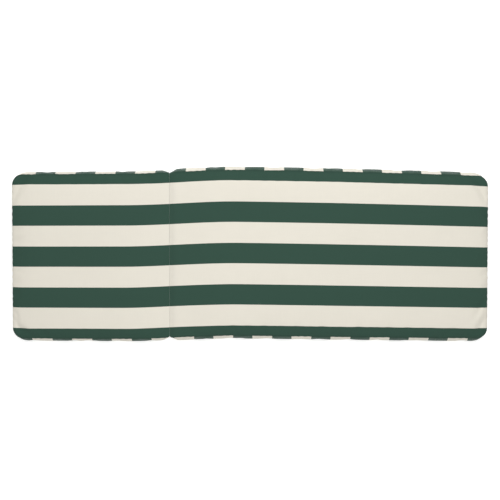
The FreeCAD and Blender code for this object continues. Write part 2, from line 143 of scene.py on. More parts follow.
# %% Mesh helpers
def add_mesh(name, points, faces, uv=None):
    """A smooth-shaded mesh object from arrays of points, faces and corner UVs."""
    mesh = bpy.data.meshes.new(name)
    faces = faces if isinstance(faces, list) else faces.tolist()
    mesh.from_pydata(np.asarray(points, float).reshape(-1, 3).tolist(), [], faces)
    mesh.polygons.foreach_set("use_smooth", np.ones(len(mesh.polygons), bool))
    if uv is not None:
        mesh.uv_layers.new(name="cloth").data.foreach_set("uv", np.asarray(uv, float).ravel())
    mesh.update()
    thing = bpy.data.objects.new(name, mesh)
    bpy.context.scene.collection.objects.link(thing)
    return thing


def points_of(mesh):
    """A mesh's points as an array."""
    flat = np.empty(len(mesh.vertices) * 3)
    mesh.vertices.foreach_get("co", flat)
    return flat.reshape(-1, 3)


def normals_of(mesh):
    """A mesh's point normals as an array."""
    flat = np.empty(len(mesh.vertices) * 3)
    mesh.vertices.foreach_get("normal", flat)
    return flat.reshape(-1, 3)


def quads(grid):
    """Faces of a grid of point numbers, turned so that rows cross columns counter-clockwise."""
    corners = (grid[:-1, :-1], grid[1:, :-1], grid[1:, 1:], grid[:-1, 1:])
    return np.stack(corners, axis=-1).reshape(-1, 4)


def smooth(t):
    """Eases from 0 to 1: 3t^2 - 2t^3, held flat outside."""
    t = np.clip(t, 0, 1)
    return t * t * (3 - 2 * t)

# %% [markdown]
# ## The plan of a cushion
# Seen from above, a cushion is a rectangle with rounded corners. A plain grid is laid over it,
# with lines at every seam end, closer together near the seams where the cloth turns sharply. The
# grid's square corners are then pulled onto the round ones with the map that takes a square to a
# disc: u = p * sqrt(1 - q^2 / 2), v = q * sqrt(1 - p^2 / 2). The cloth's pattern is read from the
# flattened places, so stripes stay straight whatever the grid does.

# %% Plan grid
def grid_lines(*stops):
    """Places of grid lines: each stop is (place, how many cells lead up to it)."""
    places = [stops[0][0]]
    for (start, _), (end, cells) in zip(stops, stops[1:]):
        places.extend(np.linspace(start, end, cells + 1)[1:])
    return np.array(places)


EDGE_CELL = 4 * MM
BODY_CELL = 12 * MM
BODY_START = 60 * MM
BODY_STOP = 30 * MM
POCKET_CELLS = 12 * MM


def plan_lines(section):
    """Grid lines along and across one cushion, in its own frame."""
    far = section.length
    corner = far - OUTER_RADIUS
    body_end = corner - BODY_STOP
    along = grid_lines(
        (section.start, 0),
        (section.start + EDGE_CELL, 1),
        (HINGE_START + HINGE_RADIUS, 1),
        (BODY_START, 5),
        (body_end, int(round((body_end - BODY_START) / BODY_CELL))),
        (corner, 3),
        (far - EDGE_CELL, 5),
        (far, 1),
    )
    pocket = GUSSET_HALF - POCKET_CELLS
    half = grid_lines(
        (0, 0),
        (pocket, int(round(pocket / BODY_CELL))),
        (GUSSET_HALF, 3),
        (HINGE_WALL_HALF, 3),
        (HALF_WIDTH, 2),
    )
    return along, np.concatenate([-half[:0:-1], half])


def round_corners(section, x, y):
    """Pulls the plan's square corners onto its round ones."""
    far = section.length
    for centre, radius, way, reach in (
        (far - OUTER_RADIUS, OUTER_RADIUS, 1, OUTER_RADIUS),
        (HINGE_START + HINGE_RADIUS, HINGE_RADIUS, -1, HINGE_START + HINGE_RADIUS - section.start),
    ):
        p = way * (x - centre) / reach
        q = (np.abs(y) - (HALF_WIDTH - radius)) / radius
        corner = (p > 0) & (q > 0)
        p, q = np.clip(p, 0, 1), np.clip(q, 0, 1)
        inner = HALF_WIDTH - radius
        x = np.where(corner, centre + way * reach * p * np.sqrt(1 - q * q / 2), x)
        pulled = inner + radius * q * np.sqrt(1 - p * p / 2)
        y = np.where(corner, np.sign(y) * pulled, y)
    return x, y

# %% [markdown]
# ## The crown and the sides
# Foam is cut flat, but the wadding over it lifts the cloth away from the seams and lets it run
# level in the middle. At a distance d a seam pulls the crown down by a long slope,
# (1 - d / run)^power, and a short roll, e^(-d / roll), which takes a sixth of it. The pulls of two
# seams join as sqrt(a^2 + b^2), which rounds the crown's corners. At the hinge the cloth rises a
# little over a narrow groove, 1 - e^(-d / width), and then slowly, so that the back section can
# fold over onto the seat.
# The side strips belly outwards between their two seams, as (4t(1 - t))^power over their height t.

# %% Heights and outward directions
CROWN_RUN = 0.11
CROWN_POWER = 2.2
ROLL_WIDTH = 5 * MM
ROLL_SHARE = 0.16
GROOVE_DEPTH = 0.75 * MM
GROOVE_WIDTH = 9 * MM
HINGE_RUN = 0.22
FILL_ROOM = 2.5 * MM


def pull(distance):
    """How much of the crown a seam takes away: a long slope, and a short roll at the seam."""
    slope = (1 - np.clip(distance / CROWN_RUN, 0, 1)) ** CROWN_POWER
    roll = np.exp(-np.maximum(distance, 0) / ROLL_WIDTH)
    return (1 - ROLL_SHARE) * slope + ROLL_SHARE * roll


def crown(section, x, y):
    """Height of the top panel over the plan."""
    from_hinge = np.maximum(x - section.start, 0)
    sides, end = pull(HALF_WIDTH - np.abs(y)), pull(section.length - x)
    level = 1 - np.minimum(np.sqrt(sides**2 + end**2), 1)
    groove = GROOVE_DEPTH * (1 - np.exp(-from_hinge / GROOVE_WIDTH))
    slow = (CROWN_RISE - FILL_ROOM - GROOVE_DEPTH) * smooth(from_hinge / HINGE_RUN)
    return SEAM_Z + level * (groove + slow)


def outward(x, y, far):
    """The plan direction that points away from the cushion, at points on its outline."""
    near, end = HINGE_START + HINGE_RADIUS, far - OUTER_RADIUS
    radius = np.where(x > end, OUTER_RADIUS, HINGE_RADIUS)
    reach = HALF_WIDTH - radius
    on_side = (x >= near) & (x <= end)
    core_y = np.where(on_side, 0, np.clip(y, -reach, reach))
    away = np.stack([x - np.clip(x, near, end), y - core_y], axis=-1)
    return away / np.maximum(np.linalg.norm(away, axis=-1, keepdims=True), 1e-9)


def along_edge(x, y, far):
    """Distance from the hinge along a side seam, round its corners."""
    near, end = HINGE_START + HINGE_RADIUS, far - OUTER_RADIUS
    outer = np.arctan2(np.maximum(x - end, 0), np.abs(y) - (HALF_WIDTH - OUTER_RADIUS))
    inner = np.arctan2(np.maximum(near - x, 0), np.abs(y) - (HALF_WIDTH - HINGE_RADIUS))
    s = np.where(x > end, end + OUTER_RADIUS * outer, x)
    return np.where(x < near, near - HINGE_RADIUS * inner, s)

# %% [markdown]
# ## The cover's surface
# The cover is one closed surface: a top grid, a bottom grid, and rows of points round the sides
# between their edges. At the far end the rows follow the two gussets, which lean in to the zip,
# step down behind their folded edges and leave a shelf behind the zip's tapes and the slider's
# back plate. Beside the corners that recess fades out over a few centimetres, like the end of a
# real zip's pocket.

# %% Build the cover
SIDE_ROWS = 12
POCKET_FADE = 14 * MM
POCKET_HALF = GUSSET_HALF + 14 * MM
SEAM_SWAY = 0.35 * MM
SEAM_WAVES = np.arange(14, 46, 3)
BELLY_POWER = 0.75
BELLY_START, BELLY_RISE, BELLY_FALL = 2 * MM, 30 * MM, 60 * MM
FAR_BELLY, HINGE_BELLY = 3.0 * MM, 0.6 * MM
HAIR = 1e-6
PATTERN_PERIOD = 163.8 * MM
FOLD_HALF = 0.7 * MM
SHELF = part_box("seat_top_panel")[1].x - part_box("seat_zip_slider")[0].x + 2.2 * MM
GUSSET_HEIGHTS = np.concatenate(
    [
        np.linspace(0, ZIP_LOW - FOLD_HALF, 5),
        [ZIP_LOW + FOLD_HALF, ZIP_Z, ZIP_HIGH - FOLD_HALF],
        np.linspace(ZIP_HIGH + FOLD_HALF, SEAM_Z, 5),
    ]
)
LEAN = ZIP_DEPTH - CLOTH
GUSSET_INSET = np.concatenate(
    [np.linspace(0, LEAN, 5), [SHELF, SHELF, SHELF], np.linspace(LEAN, 0, 5)]
)


def ring_walk(nx, ny):
    """Row and column numbers of a grid's edge, counter-clockwise seen from above."""
    x, y = np.arange(nx), np.arange(ny)
    rows = np.concatenate([x, np.full(ny, nx), x[::-1] + 1, np.zeros(ny, int)])
    columns = np.concatenate([np.zeros(nx, int), y, np.full(nx, ny), y[::-1] + 1])
    return rows, columns


def wave(t, harmonics, seed):
    """A smooth random wave, about -1 to 1, that repeats as t goes from 0 to 1."""
    random = np.random.default_rng(seed)
    phase = random.uniform(0, 2 * np.pi, len(harmonics))
    terms = np.sin(2 * np.pi * np.multiply.outer(t, harmonics) + phase)
    return terms.sum(axis=-1) / np.sqrt(len(harmonics))


def side_rows(section, ring_x, ring_y):
    """Points of the side, one row of the ring for each height, and how far each is in the zip."""
    far = section.length
    t = np.linspace(0, 1, SIDE_ROWS + 1)[:, None]
    at_far = ring_x > far - MM
    pocket = np.where(at_far, smooth((POCKET_HALF - np.abs(ring_y)) / POCKET_FADE), 0)
    at_hinge = (ring_x < section.start + HAIR) & (np.abs(ring_y) < HINGE_WALL_HALF + HAIR)
    belly = np.where(ring_y > 0, *section.bulges)
    belly = belly * smooth((ring_x - BELLY_START) / BELLY_RISE) * smooth((far - ring_x) / BELLY_FALL)
    belly = np.maximum(belly, np.where(ring_x > far / 2, FAR_BELLY, HINGE_BELLY))
    belly = np.where(at_hinge, 0, belly)
    bulge = belly * np.clip(4 * t * (1 - t), 0, 1) ** BELLY_POWER
    offset = bulge * (1 - pocket) - GUSSET_INSET[:, None] * pocket
    height = t * SEAM_Z * (1 - pocket) + GUSSET_HEIGHTS[:, None] * pocket
    way = outward(ring_x, ring_y, far)
    x = ring_x + way[:, 0] * offset
    y = ring_y + way[:, 1] * offset
    return np.stack([x, y, height], axis=-1), pocket, at_hinge


def cover_cloth(section, ring_x, ring_y, heights):
    """Corner UVs of the side faces: along a thread, then across the stripes."""
    far = section.length
    following = np.roll(ring_x, -1), np.roll(ring_y, -1)
    mid_x, mid_y = (ring_x + following[0]) / 2, (ring_y + following[1]) / 2
    straight_end = (mid_x > far - HAIR) | (mid_x < section.start + HAIR)
    start = np.where(mid_y > 0, *section.first_stripe)
    across = []
    for x, y in ((ring_x, ring_y), following):
        gathered = (along_edge(x, y, far) - start) * section.ease
        across.append(np.where(straight_end, y, gathered))
    low, high = heights[:-1], heights[1:]
    here = np.broadcast_to(across[0], low.shape)
    there = np.broadcast_to(across[1], low.shape)
    next_low, next_high = np.roll(low, -1, axis=1), np.roll(high, -1, axis=1)
    corners = [(low, here), (next_low, there), (next_high, there), (high, here)]
    return np.stack([np.stack(c, axis=-1) for c in corners], axis=-2).reshape(-1, 4, 2)


def build_cover(section):
    """The cover before it is filled: a closed mesh, its fixed points and its seam points."""
    far = section.length
    along, across = plan_lines(section)
    grid_x, grid_y = np.meshgrid(along, across, indexing="ij")
    top_z = crown(section, grid_x, grid_y)
    x, y = round_corners(section, grid_x, grid_y)
    rows, columns = ring_walk(len(along) - 1, len(across) - 1)
    ring_x, ring_y = x[rows, columns], y[rows, columns]
    sides, pocket, at_hinge = side_rows(section, ring_x, ring_y)

    turn = np.arange(len(rows)) / len(rows)
    way = outward(ring_x, ring_y, far)
    free = ((1 - pocket) * ~at_hinge)[:, None]
    for seam, seed in ((0, 3), (SIDE_ROWS, 5)):
        sway = wave(turn, SEAM_WAVES, seed + section.points) * SEAM_SWAY
        sides[seam, :, :2] += way * sway[:, None] * free
    top = np.stack([x, y, top_z], axis=-1)
    bottom = np.stack([x, y, np.zeros_like(x)], axis=-1)
    top[rows, columns] = sides[-1]
    bottom[rows, columns] = sides[0]
    inner = sides[1:-1]

    count = x.size
    top_ids = np.arange(count).reshape(x.shape)
    bottom_ids = top_ids + count
    ring_ids = np.arange(inner.shape[0] * len(rows)).reshape(inner.shape[:2]) + 2 * count
    ring_ids = np.vstack([bottom_ids[rows, columns], ring_ids, top_ids[rows, columns]])
    closed = np.hstack([ring_ids, ring_ids[:, :1]])
    side_faces = quads(closed)[:, [0, 3, 2, 1]]
    faces = np.concatenate([quads(top_ids), quads(bottom_ids)[:, ::-1], side_faces])
    points = np.concatenate([top.reshape(-1, 3), bottom.reshape(-1, 3), inner.reshape(-1, 3)])

    flat = np.stack([x, y], axis=-1).reshape(-1, 2)
    top_uv = flat[quads(top_ids)]
    bottom_uv = flat[quads(top_ids)[:, ::-1]]
    side_uv = cover_cloth(section, ring_x, ring_y, sides[..., 2])
    uv = np.concatenate([top_uv, bottom_uv, side_uv])
    cover = add_mesh(f"{section.name}_cover", section.place(points), faces, uv)

    fixed = np.zeros(len(points), bool)
    fixed[bottom_ids.ravel()] = True
    fixed[ring_ids[-1]] = True
    fixed[ring_ids[:, (pocket > 0.01) | at_hinge].ravel()] = True
    seams = [ring_ids[0], ring_ids[-1]]
    return cover, fixed, seams


covers = {section.name: build_cover(section) for section in SECTIONS}
for cover, fixed, _ in covers.values():
    print(f"{cover.name}: {len(cover.data.polygons)} faces, {fixed.sum()} fixed points")

# %% [markdown]
# ## Filling the covers
# A drawn crown is too even to pass for cloth over wadding. The cloth simulation finds the rest:
# the seams, the flat bottom and the zipped end are pinned, the cloth is cut about one percent
# too large so that it puckers where it is held, and a little pressure stands for the filling. A
# cap on how far any point may move keeps the cushion at its size.

# %% Cloth simulation
PRESSURE = 2.5
SLACK = 0.012
SETTLE_FRAMES = 20
MOST_MOVED = 4.5 * MM
SIDE_MOVED = 1.3 * MM
CLOTH_RULES = {
    "quality": 6,
    "mass": 0.25,
    "tension_stiffness": 30,
    "compression_stiffness": 30,
    "shear_stiffness": 12,
    "bending_stiffness": 1.5,
    "tension_damping": 15,
    "compression_damping": 15,
    "shear_damping": 15,
    "shrink_min": -SLACK,
    "use_pressure": True,
    "uniform_pressure_force": PRESSURE,
}


def fill(cover, fixed):
    """Runs the cloth simulation on a cover and keeps its last shape in the mesh."""
    group = cover.vertex_groups.new(name="pinned")
    group.add(np.flatnonzero(fixed).tolist(), 1.0, "REPLACE")
    cloth = cover.modifiers.new("filling", "CLOTH")
    for rule, value in CLOTH_RULES.items():
        setattr(cloth.settings, rule, value)
    cloth.settings.vertex_group_mass = group.name
    cloth.settings.effector_weights.gravity = 0
    cloth.point_cache.frame_start = 1
    cloth.point_cache.frame_end = SETTLE_FRAMES
    scene = bpy.context.scene
    for number in range(1, SETTLE_FRAMES + 1):
        scene.frame_set(number)
    settled = cover.evaluated_get(bpy.context.evaluated_depsgraph_get())
    before, after = points_of(cover.data), points_of(settled.data)
    moved = after - before
    length = np.linalg.norm(moved, axis=1, keepdims=True)
    from_hinge = np.abs(before[:, :1] - HINGE_X)
    most = MOST_MOVED * smooth(from_hinge / HINGE_RUN)
    most = np.where(before[:, 2:] < SEAM_Z - MM, SIDE_MOVED, most)
    moved *= np.minimum(1, most / np.maximum(length, 1e-9))
    cover.modifiers.remove(cloth)
    cover.vertex_groups.clear()
    scene.frame_set(1)
    cover.data.vertices.foreach_set("co", (before + moved).ravel())
    cover.data.update()
    print(f"{cover.name}: cloth moved up to {length.max() / MM:.1f} mm before the cap")


for cover, fixed, _ in covers.values():
    fill(cover, fixed)

# %% [markdown]
# ## Finer cloth and its puckers
# One level of subdivision rounds the coarse grid. The seams are creased first, so that the panels
# still meet at an edge. A sewn seam also gathers the cloth into small ridges that run away from
# it and die out, so waves along the seams are added, each times e^(-distance / reach).
# Last, the whole pad is laid down with a slight bend, as a soft thing lies. Two short formulas
# move points across the pad depending only on how far along it they are: it swings to one side
# round the hinge and drifts back towards the foot, and it is a little narrower at its ends.

# %% Subdivide, pucker and lay down
PUCKER = 0.55 * MM
PUCKER_REACH = 13 * MM
FOLD_REACH = 45 * MM
# Width of the painted shade beside the seams, and the depth, place and width of a band of painted shade
# on the seat past the hinge.
SEAM_SHADE_WIDTH = 4 * MM
FOLD_SHADE_DEPTH = 0.32
FOLD_SHADE_PLACE = 10 * MM
FOLD_SHADE = 13 * MM
BEND_HEAD = -2 * MM
BEND_RISE = 14.5 * MM
RISE_BEFORE = 180 * MM
RISE_AFTER = 260 * MM
BEND_FALL = 18 * MM
FALL_POWER = 1.2
WIDEST = 1.005
NARROW_HEAD = 0.012
NARROW_FOOT = 0.021
SEAM_CREASE = 0.8
RIPPLE_SPAN = 1.9
RIPPLE_WAVES = np.array([61, 67, 74, 79, 88])
FOLD_PUCKER = 2.2
FOLD_SLANT = 1.7
STRIP_END = 20 * MM


def bend(along):
    """How far the pad lies to its left, at places along it.

    A smooth step up round the hinge, rise * (3t^2 - 2t^3), and then fall * t^power to the foot.
    """
    past = along - HINGE_X
    rise = smooth((past + RISE_BEFORE) / (RISE_BEFORE + RISE_AFTER))
    fall = np.clip((past - RISE_AFTER) / (SEAT.length - RISE_AFTER), 0, 1) ** FALL_POWER
    return BEND_HEAD + BEND_RISE * rise - BEND_FALL * fall


def width_share(along):
    """The laid width against the cut width: widest - narrowing * (x / half the length)^2."""
    narrow = np.where(along > 0, NARROW_FOOT, NARROW_HEAD)
    return WIDEST - narrow * (along / CAD_BOX[1][0]) ** 2


def lay(points):
    """Bends and narrows the pad a little, as it was laid down: y * width(x) + bend(x)."""
    laid = points.copy()
    laid[:, 1] = points[:, 1] * width_share(points[:, 0]) + bend(points[:, 0])
    return laid


def crease(mesh, rings):
    """Marks the edges that run along the seams, so that subdivision keeps them."""
    on_seam = np.zeros((len(rings), len(mesh.vertices)), bool)
    for row, ring in zip(on_seam, rings):
        row[ring] = True
    ends = np.empty(len(mesh.edges) * 2, int)
    mesh.edges.foreach_get("vertices", ends)
    ends = ends.reshape(-1, 2)
    creased = (on_seam[:, ends[:, 0]] & on_seam[:, ends[:, 1]]).any(axis=0)
    marks = mesh.attributes.new("crease_edge", "FLOAT", "EDGE")
    marks.data.foreach_set("value", creased * SEAM_CREASE)


def subdivide(thing):
    """Applies one level of Catmull-Clark subdivision."""
    finer = thing.modifiers.new("finer", "SUBSURF")
    finer.levels = finer.render_levels = 1
    finer.uv_smooth = "NONE"
    graph = bpy.context.evaluated_depsgraph_get()
    mesh = bpy.data.meshes.new_from_object(thing.evaluated_get(graph))
    thing.modifiers.remove(finer)
    old, thing.data = thing.data, mesh
    bpy.data.meshes.remove(old)
    mesh.name = thing.name


def ripple(places, seed):
    """Uneven ridges about 25 mm apart along a seam."""
    return wave(places / RIPPLE_SPAN, RIPPLE_WAVES, seed)


def top_panel(points, normals):
    """True for points of the top panel."""
    return (points[:, 2] > SEAM_Z - 1.5 * MM) & (normals[:, 2] > 0.3)


def seam_crease(section, points, normals):
    """How much painted shade darkens the cloth beside its seams, 0 to 1: exp(-distance / width) on the
    top.

    On the seat, painted shade falls in a band just past the hinge: depth * exp(-((out - place) / width)
    ^ 2).
    Low on the sides there is painted contact shade by the floor: 0.5 * exp(-height / (2 * width)).
    """
    out, across = section.points * (points[:, 0] - HINGE_X), np.abs(points[:, 1])
    past_x = out - (section.length - OUTER_RADIUS)
    past_y = across - (HALF_WIDTH - OUTER_RADIUS)
    plain = np.minimum(HALF_WIDTH - across, section.length - out)
    rounded = OUTER_RADIUS - np.hypot(past_x, past_y)
    to_seam = np.where((past_x > 0) & (past_y > 0), rounded, plain)
    on_top = np.exp(-np.maximum(to_seam, 0) / SEAM_SHADE_WIDTH)
    # Painted shade in a band on the seat just past the hinge.
    groove = FOLD_SHADE_DEPTH * np.exp(-(((out - FOLD_SHADE_PLACE) / FOLD_SHADE) ** 2)) * (section is SEAT)
    # Painted contact shade low on the sides, by the floor.
    floor_contact_shade = 0.5 * np.exp(-points[:, 2] / (2 * SEAM_SHADE_WIDTH))
    return np.where(top_panel(points, normals), np.maximum(on_top, groove), floor_contact_shade)


def pucker(section, mesh):
    """Adds the ridges that a seam gathers, along each point's normal, and lays the cover down."""
    points, normals = points_of(mesh), normals_of(mesh)
    # Painted shade beside the seams and by the floor, kept on the points for the canvas.
    marks = mesh.attributes.new("seam_crease", "FLOAT", "POINT")
    marks.data.foreach_set("value", seam_crease(section, points, normals))
    out = section.points * (points[:, 0] - HINGE_X)
    to_side = HALF_WIDTH - np.abs(points[:, 1])
    to_end = section.length - out
    to_seam = SEAM_Z - points[:, 2]
    on_top = top_panel(points, normals)
    from_sides = np.exp(-np.maximum(to_side, 0) / PUCKER_REACH) * ripple(points[:, 0], 11)
    from_ends = np.exp(-np.maximum(to_end, 0) / PUCKER_REACH) * ripple(points[:, 1], 17)
    near_fold = np.exp(-np.maximum(out, 0) / FOLD_REACH) * smooth(out / GROOVE_WIDTH)
    near_fold *= np.exp(-np.maximum(to_side, 0) / FOLD_REACH)
    near_fold *= -np.abs(ripple(points[:, 0] * FOLD_SLANT + points[:, 1], 23))
    on_strip = ~on_top & (points[:, 2] > MM) & (out > STRIP_END) & (to_end > STRIP_END)
    down_strip = np.exp(-np.maximum(to_seam, 0) / PUCKER_REACH) + np.exp(-points[:, 2] / PUCKER_REACH)
    amount = np.where(on_top, from_sides + from_ends + FOLD_PUCKER * near_fold, 0)
    amount += np.where(on_strip, down_strip * ripple(points[:, 0], 11), 0)
    points += normals * (amount * PUCKER)[:, None]
    mesh.vertices.foreach_set("co", lay(points).ravel())
    mesh.update()


for section in SECTIONS:
    cover, _, seams = covers[section.name]
    crease(cover.data, seams)
    subdivide(cover)
    pucker(section, cover.data)
    cover.data.set_sharp_from_angle(angle=np.radians(48))
    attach(cover, section.name)
    hidden = ["top_panel", "bottom_panel", "boxing_left", "boxing_right", "hinge_wall"]
    hidden += ["zip_gusset_upper", "zip_gusset_lower", "foam_core", "top_wadding", "bottom_wadding"]
    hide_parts(*[f"{section.name}_{node}" for node in hidden])
    print(f"{cover.name}: {len(cover.data.polygons)} faces after subdivision")

# %% [markdown]
# ## Carrying a profile along a path
# Binding, thread and zip teeth are all one idea: a small closed profile carried along a path. For
# a path point c with two side directions a and b, the surface is
# c + radius * (cos(angle) * a + sin(angle) * b), for the whole path at once. Shapes that repeat,
# such as stitches, are made once and placed by frames, so each one has only a few dozen faces.

# %% Tubes and repeated shapes
def tube(path, side, up, radius, sides):
    """Points, quads, caps and corner UVs of a tube along a path, its ends closed."""
    angle = np.arange(sides) / sides * 2 * np.pi
    round_it = np.cos(angle)[:, None] * side[:, None] + np.sin(angle)[:, None] * up[:, None]
    points = path[:, None] + np.broadcast_to(radius, len(path))[:, None, None] * round_it
    ids = np.arange(points.shape[0] * sides).reshape(-1, sides)
    faces = quads(np.hstack([ids, ids[:, :1]]))
    along = np.concatenate([[0], np.cumsum(np.linalg.norm(np.diff(path, axis=0), axis=1))])
    u, v = np.meshgrid(along, np.arange(sides + 1) / sides, indexing="ij")
    flat = np.stack([u, v], axis=-1).reshape(-1, 2)
    wide = np.arange(u.size).reshape(u.shape)
    caps = [ids[0][::-1], ids[-1]]
    return points.reshape(-1, 3), faces, caps, flat[quads(wide)]


def add_tube(name, path, side, up, radius, sides):
    """A mesh object of one tube."""
    points, faces, caps, uv = tube(path, side, up, radius, sides)
    cap_uv = np.zeros((2 * sides, 2))
    every = faces.tolist() + [cap.tolist() for cap in caps]
    return add_mesh(name, points, every, np.concatenate([uv.reshape(-1, 2), cap_uv]))


def add_repeated(name, shape, frames, origins):
    """One shape placed at many origins, each turned by its frame of three rows."""
    points, faces, caps, uv = shape
    placed = np.einsum("pk,skj->spj", points, frames) + origins[:, None]
    shift = np.arange(len(origins)) * len(points)
    every = (faces[None] + shift[:, None, None]).reshape(-1, 4).tolist()
    for cap in caps:
        every += (cap[None] + shift[:, None]).tolist()
    flat = np.tile(uv.reshape(-1, 2), (len(origins), 1))
    cap_uv = np.zeros((2 * len(caps[0]) * len(origins), 2))
    return add_mesh(name, placed, every, np.concatenate([flat, cap_uv]))

# %% [markdown]
# ## Zip teeth
# A cushion zip has coil teeth: two nylon spirals, sewn to the tapes, whose turns pass between
# each other. Each is a helix squeezed flat, wide across the zip and shallow in depth, and the
# second is half a turn behind the first.

# %% Zip coils
COIL_PITCH = 1.5 * MM
COIL_WIRE = 0.33 * MM
COIL_OVERLAP = 0.1 * MM
COIL_ROOM = 0.05 * MM
TURN_POINTS = 8


def zip_coil(section, which):
    """A squeezed helix: depth = sin(t), across = cos(t), along = pitch * t / one turn."""
    coil_low, coil_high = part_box(f"{section.name}_zip_coils")
    face = section.length - ZIP_DEPTH
    depth = (coil_high.x - coil_low.x) / 2
    half = (coil_high.z - coil_low.z) / 4 + COIL_OVERLAP
    centre = ZIP_Z + which * ((coil_high.z - coil_low.z) / 2 - half)
    turns = int((coil_high.y - coil_low.y) / COIL_PITCH) - 1
    t = np.arange(turns * TURN_POINTS + 1) * 2 * np.pi / TURN_POINTS
    deep, wide = np.sin(t), np.cos(t) * which
    along = coil_low.y + COIL_PITCH * (t / (2 * np.pi) + 0.5 + 0.5 * (which > 0))
    reach_x, reach_z = depth - COIL_WIRE - COIL_ROOM, half - COIL_WIRE
    path = np.stack([face + depth + reach_x * deep, along, centre + reach_z * wide], axis=-1)
    side = np.stack([deep, np.zeros_like(t), wide], axis=-1)
    up = np.broadcast_to([0.0, 1.0, 0.0], side.shape)
    name = f"{section.name}_zip_coil_{'upper' if which > 0 else 'lower'}"
    return add_tube(name, section.place(path), section_turn(section, side), section_turn(section, up),
                    COIL_WIRE, 4)


def section_turn(section, directions):
    """Takes directions from the drawing's frame to the pad's."""
    return directions * np.array([section.points, section.points, 1])


coils = {}
for section in SECTIONS:
    coils[section.name] = [zip_coil(section, which) for which in (1, -1)]
    for coil in coils[section.name]:
        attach(coil, section.name)
        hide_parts(f"{section.name}_zip_coils")
print(f"each zip coil has {len(coils['seat'][0].data.polygons)} faces")

# %% [markdown]
# ## Zip tapes
# The tapes are narrow webbing with a corded edge beside the teeth. Each is a flat profile with a
# bead on one edge, carried across the pad, with a slight wave where the sewing has drawn it in.
# Past the last teeth the two beads are sewn together.

# %% Zip tapes
TAPE_GAP = 0.6 * MM
BEAD_WIDTH, BEAD_SHARE = 1.2 * MM, 0.5
CLOSING_START, CLOSING_RUN, CLOSED = 2 * MM, 5 * MM, 0.55 * MM
TAPE_WAVE = 0.12 * MM


def zip_tape(section, which):
    """A strip with a beaded edge: a rounded profile of depth and height, carried along y.

    Past the teeth its inner edge moves in by closed(y), so that the two tapes meet."""
    tape_low, tape_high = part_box(f"{section.name}_zip_tapes")
    face = section.length - ZIP_DEPTH - TAPE_THICKNESS / 2
    height = (ZIP_Z - tape_low.z) if which < 0 else (tape_high.z - ZIP_Z)
    inner, outer = TAPE_GAP, height
    t = np.linspace(0, 2 * np.pi, 24, endpoint=False)
    middle, half = (inner + outer) / 2, (outer - inner) / 2
    across = middle - half * np.sign(np.cos(t)) * np.abs(np.cos(t)) ** 0.3
    near_teeth = np.exp(-((across - inner) / BEAD_WIDTH) ** 2)
    deep = TAPE_THICKNESS / 2 * np.sign(np.sin(t)) * np.abs(np.sin(t)) ** 0.5
    deep *= 1 + BEAD_SHARE * near_teeth
    y = np.linspace(tape_low.y, tape_high.y, 145)
    teeth_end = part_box(f"{section.name}_zip_coils")[1].y
    closed = smooth((np.abs(y) - teeth_end - CLOSING_START) / CLOSING_RUN) * CLOSED
    drawn_in = wave(y / 0.6, np.arange(9, 31, 4), 31 + which) * TAPE_WAVE
    x = face + deep[None] + drawn_in[:, None]
    z = ZIP_Z + which * (across - closed[:, None] * near_teeth)
    points = np.stack([x, np.broadcast_to(y[:, None], x.shape), z], axis=-1)
    ids = np.arange(x.size).reshape(x.shape)
    faces = quads(np.hstack([ids, ids[:, :1]]))[:, ::-which]
    caps = [ids[0][::which].tolist(), ids[-1][::-which].tolist()]
    u = np.broadcast_to(y[:, None], (len(y), len(t) + 1))
    v = np.broadcast_to(np.append(across, across[0]), u.shape)
    flat = np.stack([u, v], axis=-1).reshape(-1, 2)
    uv = flat[quads(np.arange(u.size).reshape(u.shape))[:, ::-which]].reshape(-1, 2)
    name = f"{section.name}_zip_tape_{'upper' if which > 0 else 'lower'}"
    every = faces.tolist() + caps
    return add_mesh(name, section.place(points), every, np.concatenate([uv, np.zeros((2 * len(t), 2))]))


tapes = {}
for section in SECTIONS:
    tapes[section.name] = [zip_tape(section, which) for which in (1, -1)]
    for tape in tapes[section.name]:
        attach(tape, section.name)
        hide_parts(f"{section.name}_zip_tapes")
print(f"each zip tape has {len(tapes['seat'][0].data.polygons)} faces")

# %% [markdown]
# ## The binding at the hinge
# The two top panels meet in one seam, and a narrow folded tape of the same cloth runs through
# it. From above only its rolled edge shows, painted pale as a highlight where it catches the light,
# most where it crosses the dark stripes. It is a thin tube along the seam, a little uneven, as the
# stitches press it every few millimetres.

# %% Hinge binding
BINDING_RADIUS = 0.32 * MM
BINDING_SHIFT, BINDING_SWAY = 0.05 * MM, 0.08 * MM
PRESS_PITCH, PRESS_SHARE = 3.4 * MM, 0.07


def hinge_binding():
    """A tube along the hinge: radius * (1 + small waves), following the pad's bend."""
    tape_low, tape_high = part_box("hinge_tape")
    y = np.linspace(tape_low.y, tape_high.y, 421) * HINGE_WALL_HALF / tape_high.y
    sway = wave(y / 0.66, np.arange(11, 41, 6), 41) * BINDING_SWAY
    x = np.full_like(y, HINGE_X - BINDING_SHIFT) + sway
    path = lay(np.stack([x, y, np.full_like(y, SEAM_Z)], axis=-1))
    side = np.broadcast_to([1.0, 0.0, 0.0], path.shape)
    up = np.broadcast_to([0.0, 0.0, 1.0], path.shape)
    stitched = 1 + PRESS_SHARE * np.sin(y * 2 * np.pi / PRESS_PITCH)
    return add_tube("hinge_binding", path, side, -up, BINDING_RADIUS * stitched, 8)


binding = hinge_binding()
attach(binding, "seat")
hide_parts("hinge_tape")
print(f"hinge binding: {len(binding.data.polygons)} faces")

# %% [markdown]
# ## Finding the cloth
# Stitches and the label lie on the finished cloth, so their places are found on it: a ray is sent
# from outside towards the pad's end, and where it meets the cover gives the point and the
# direction that the cloth faces there.

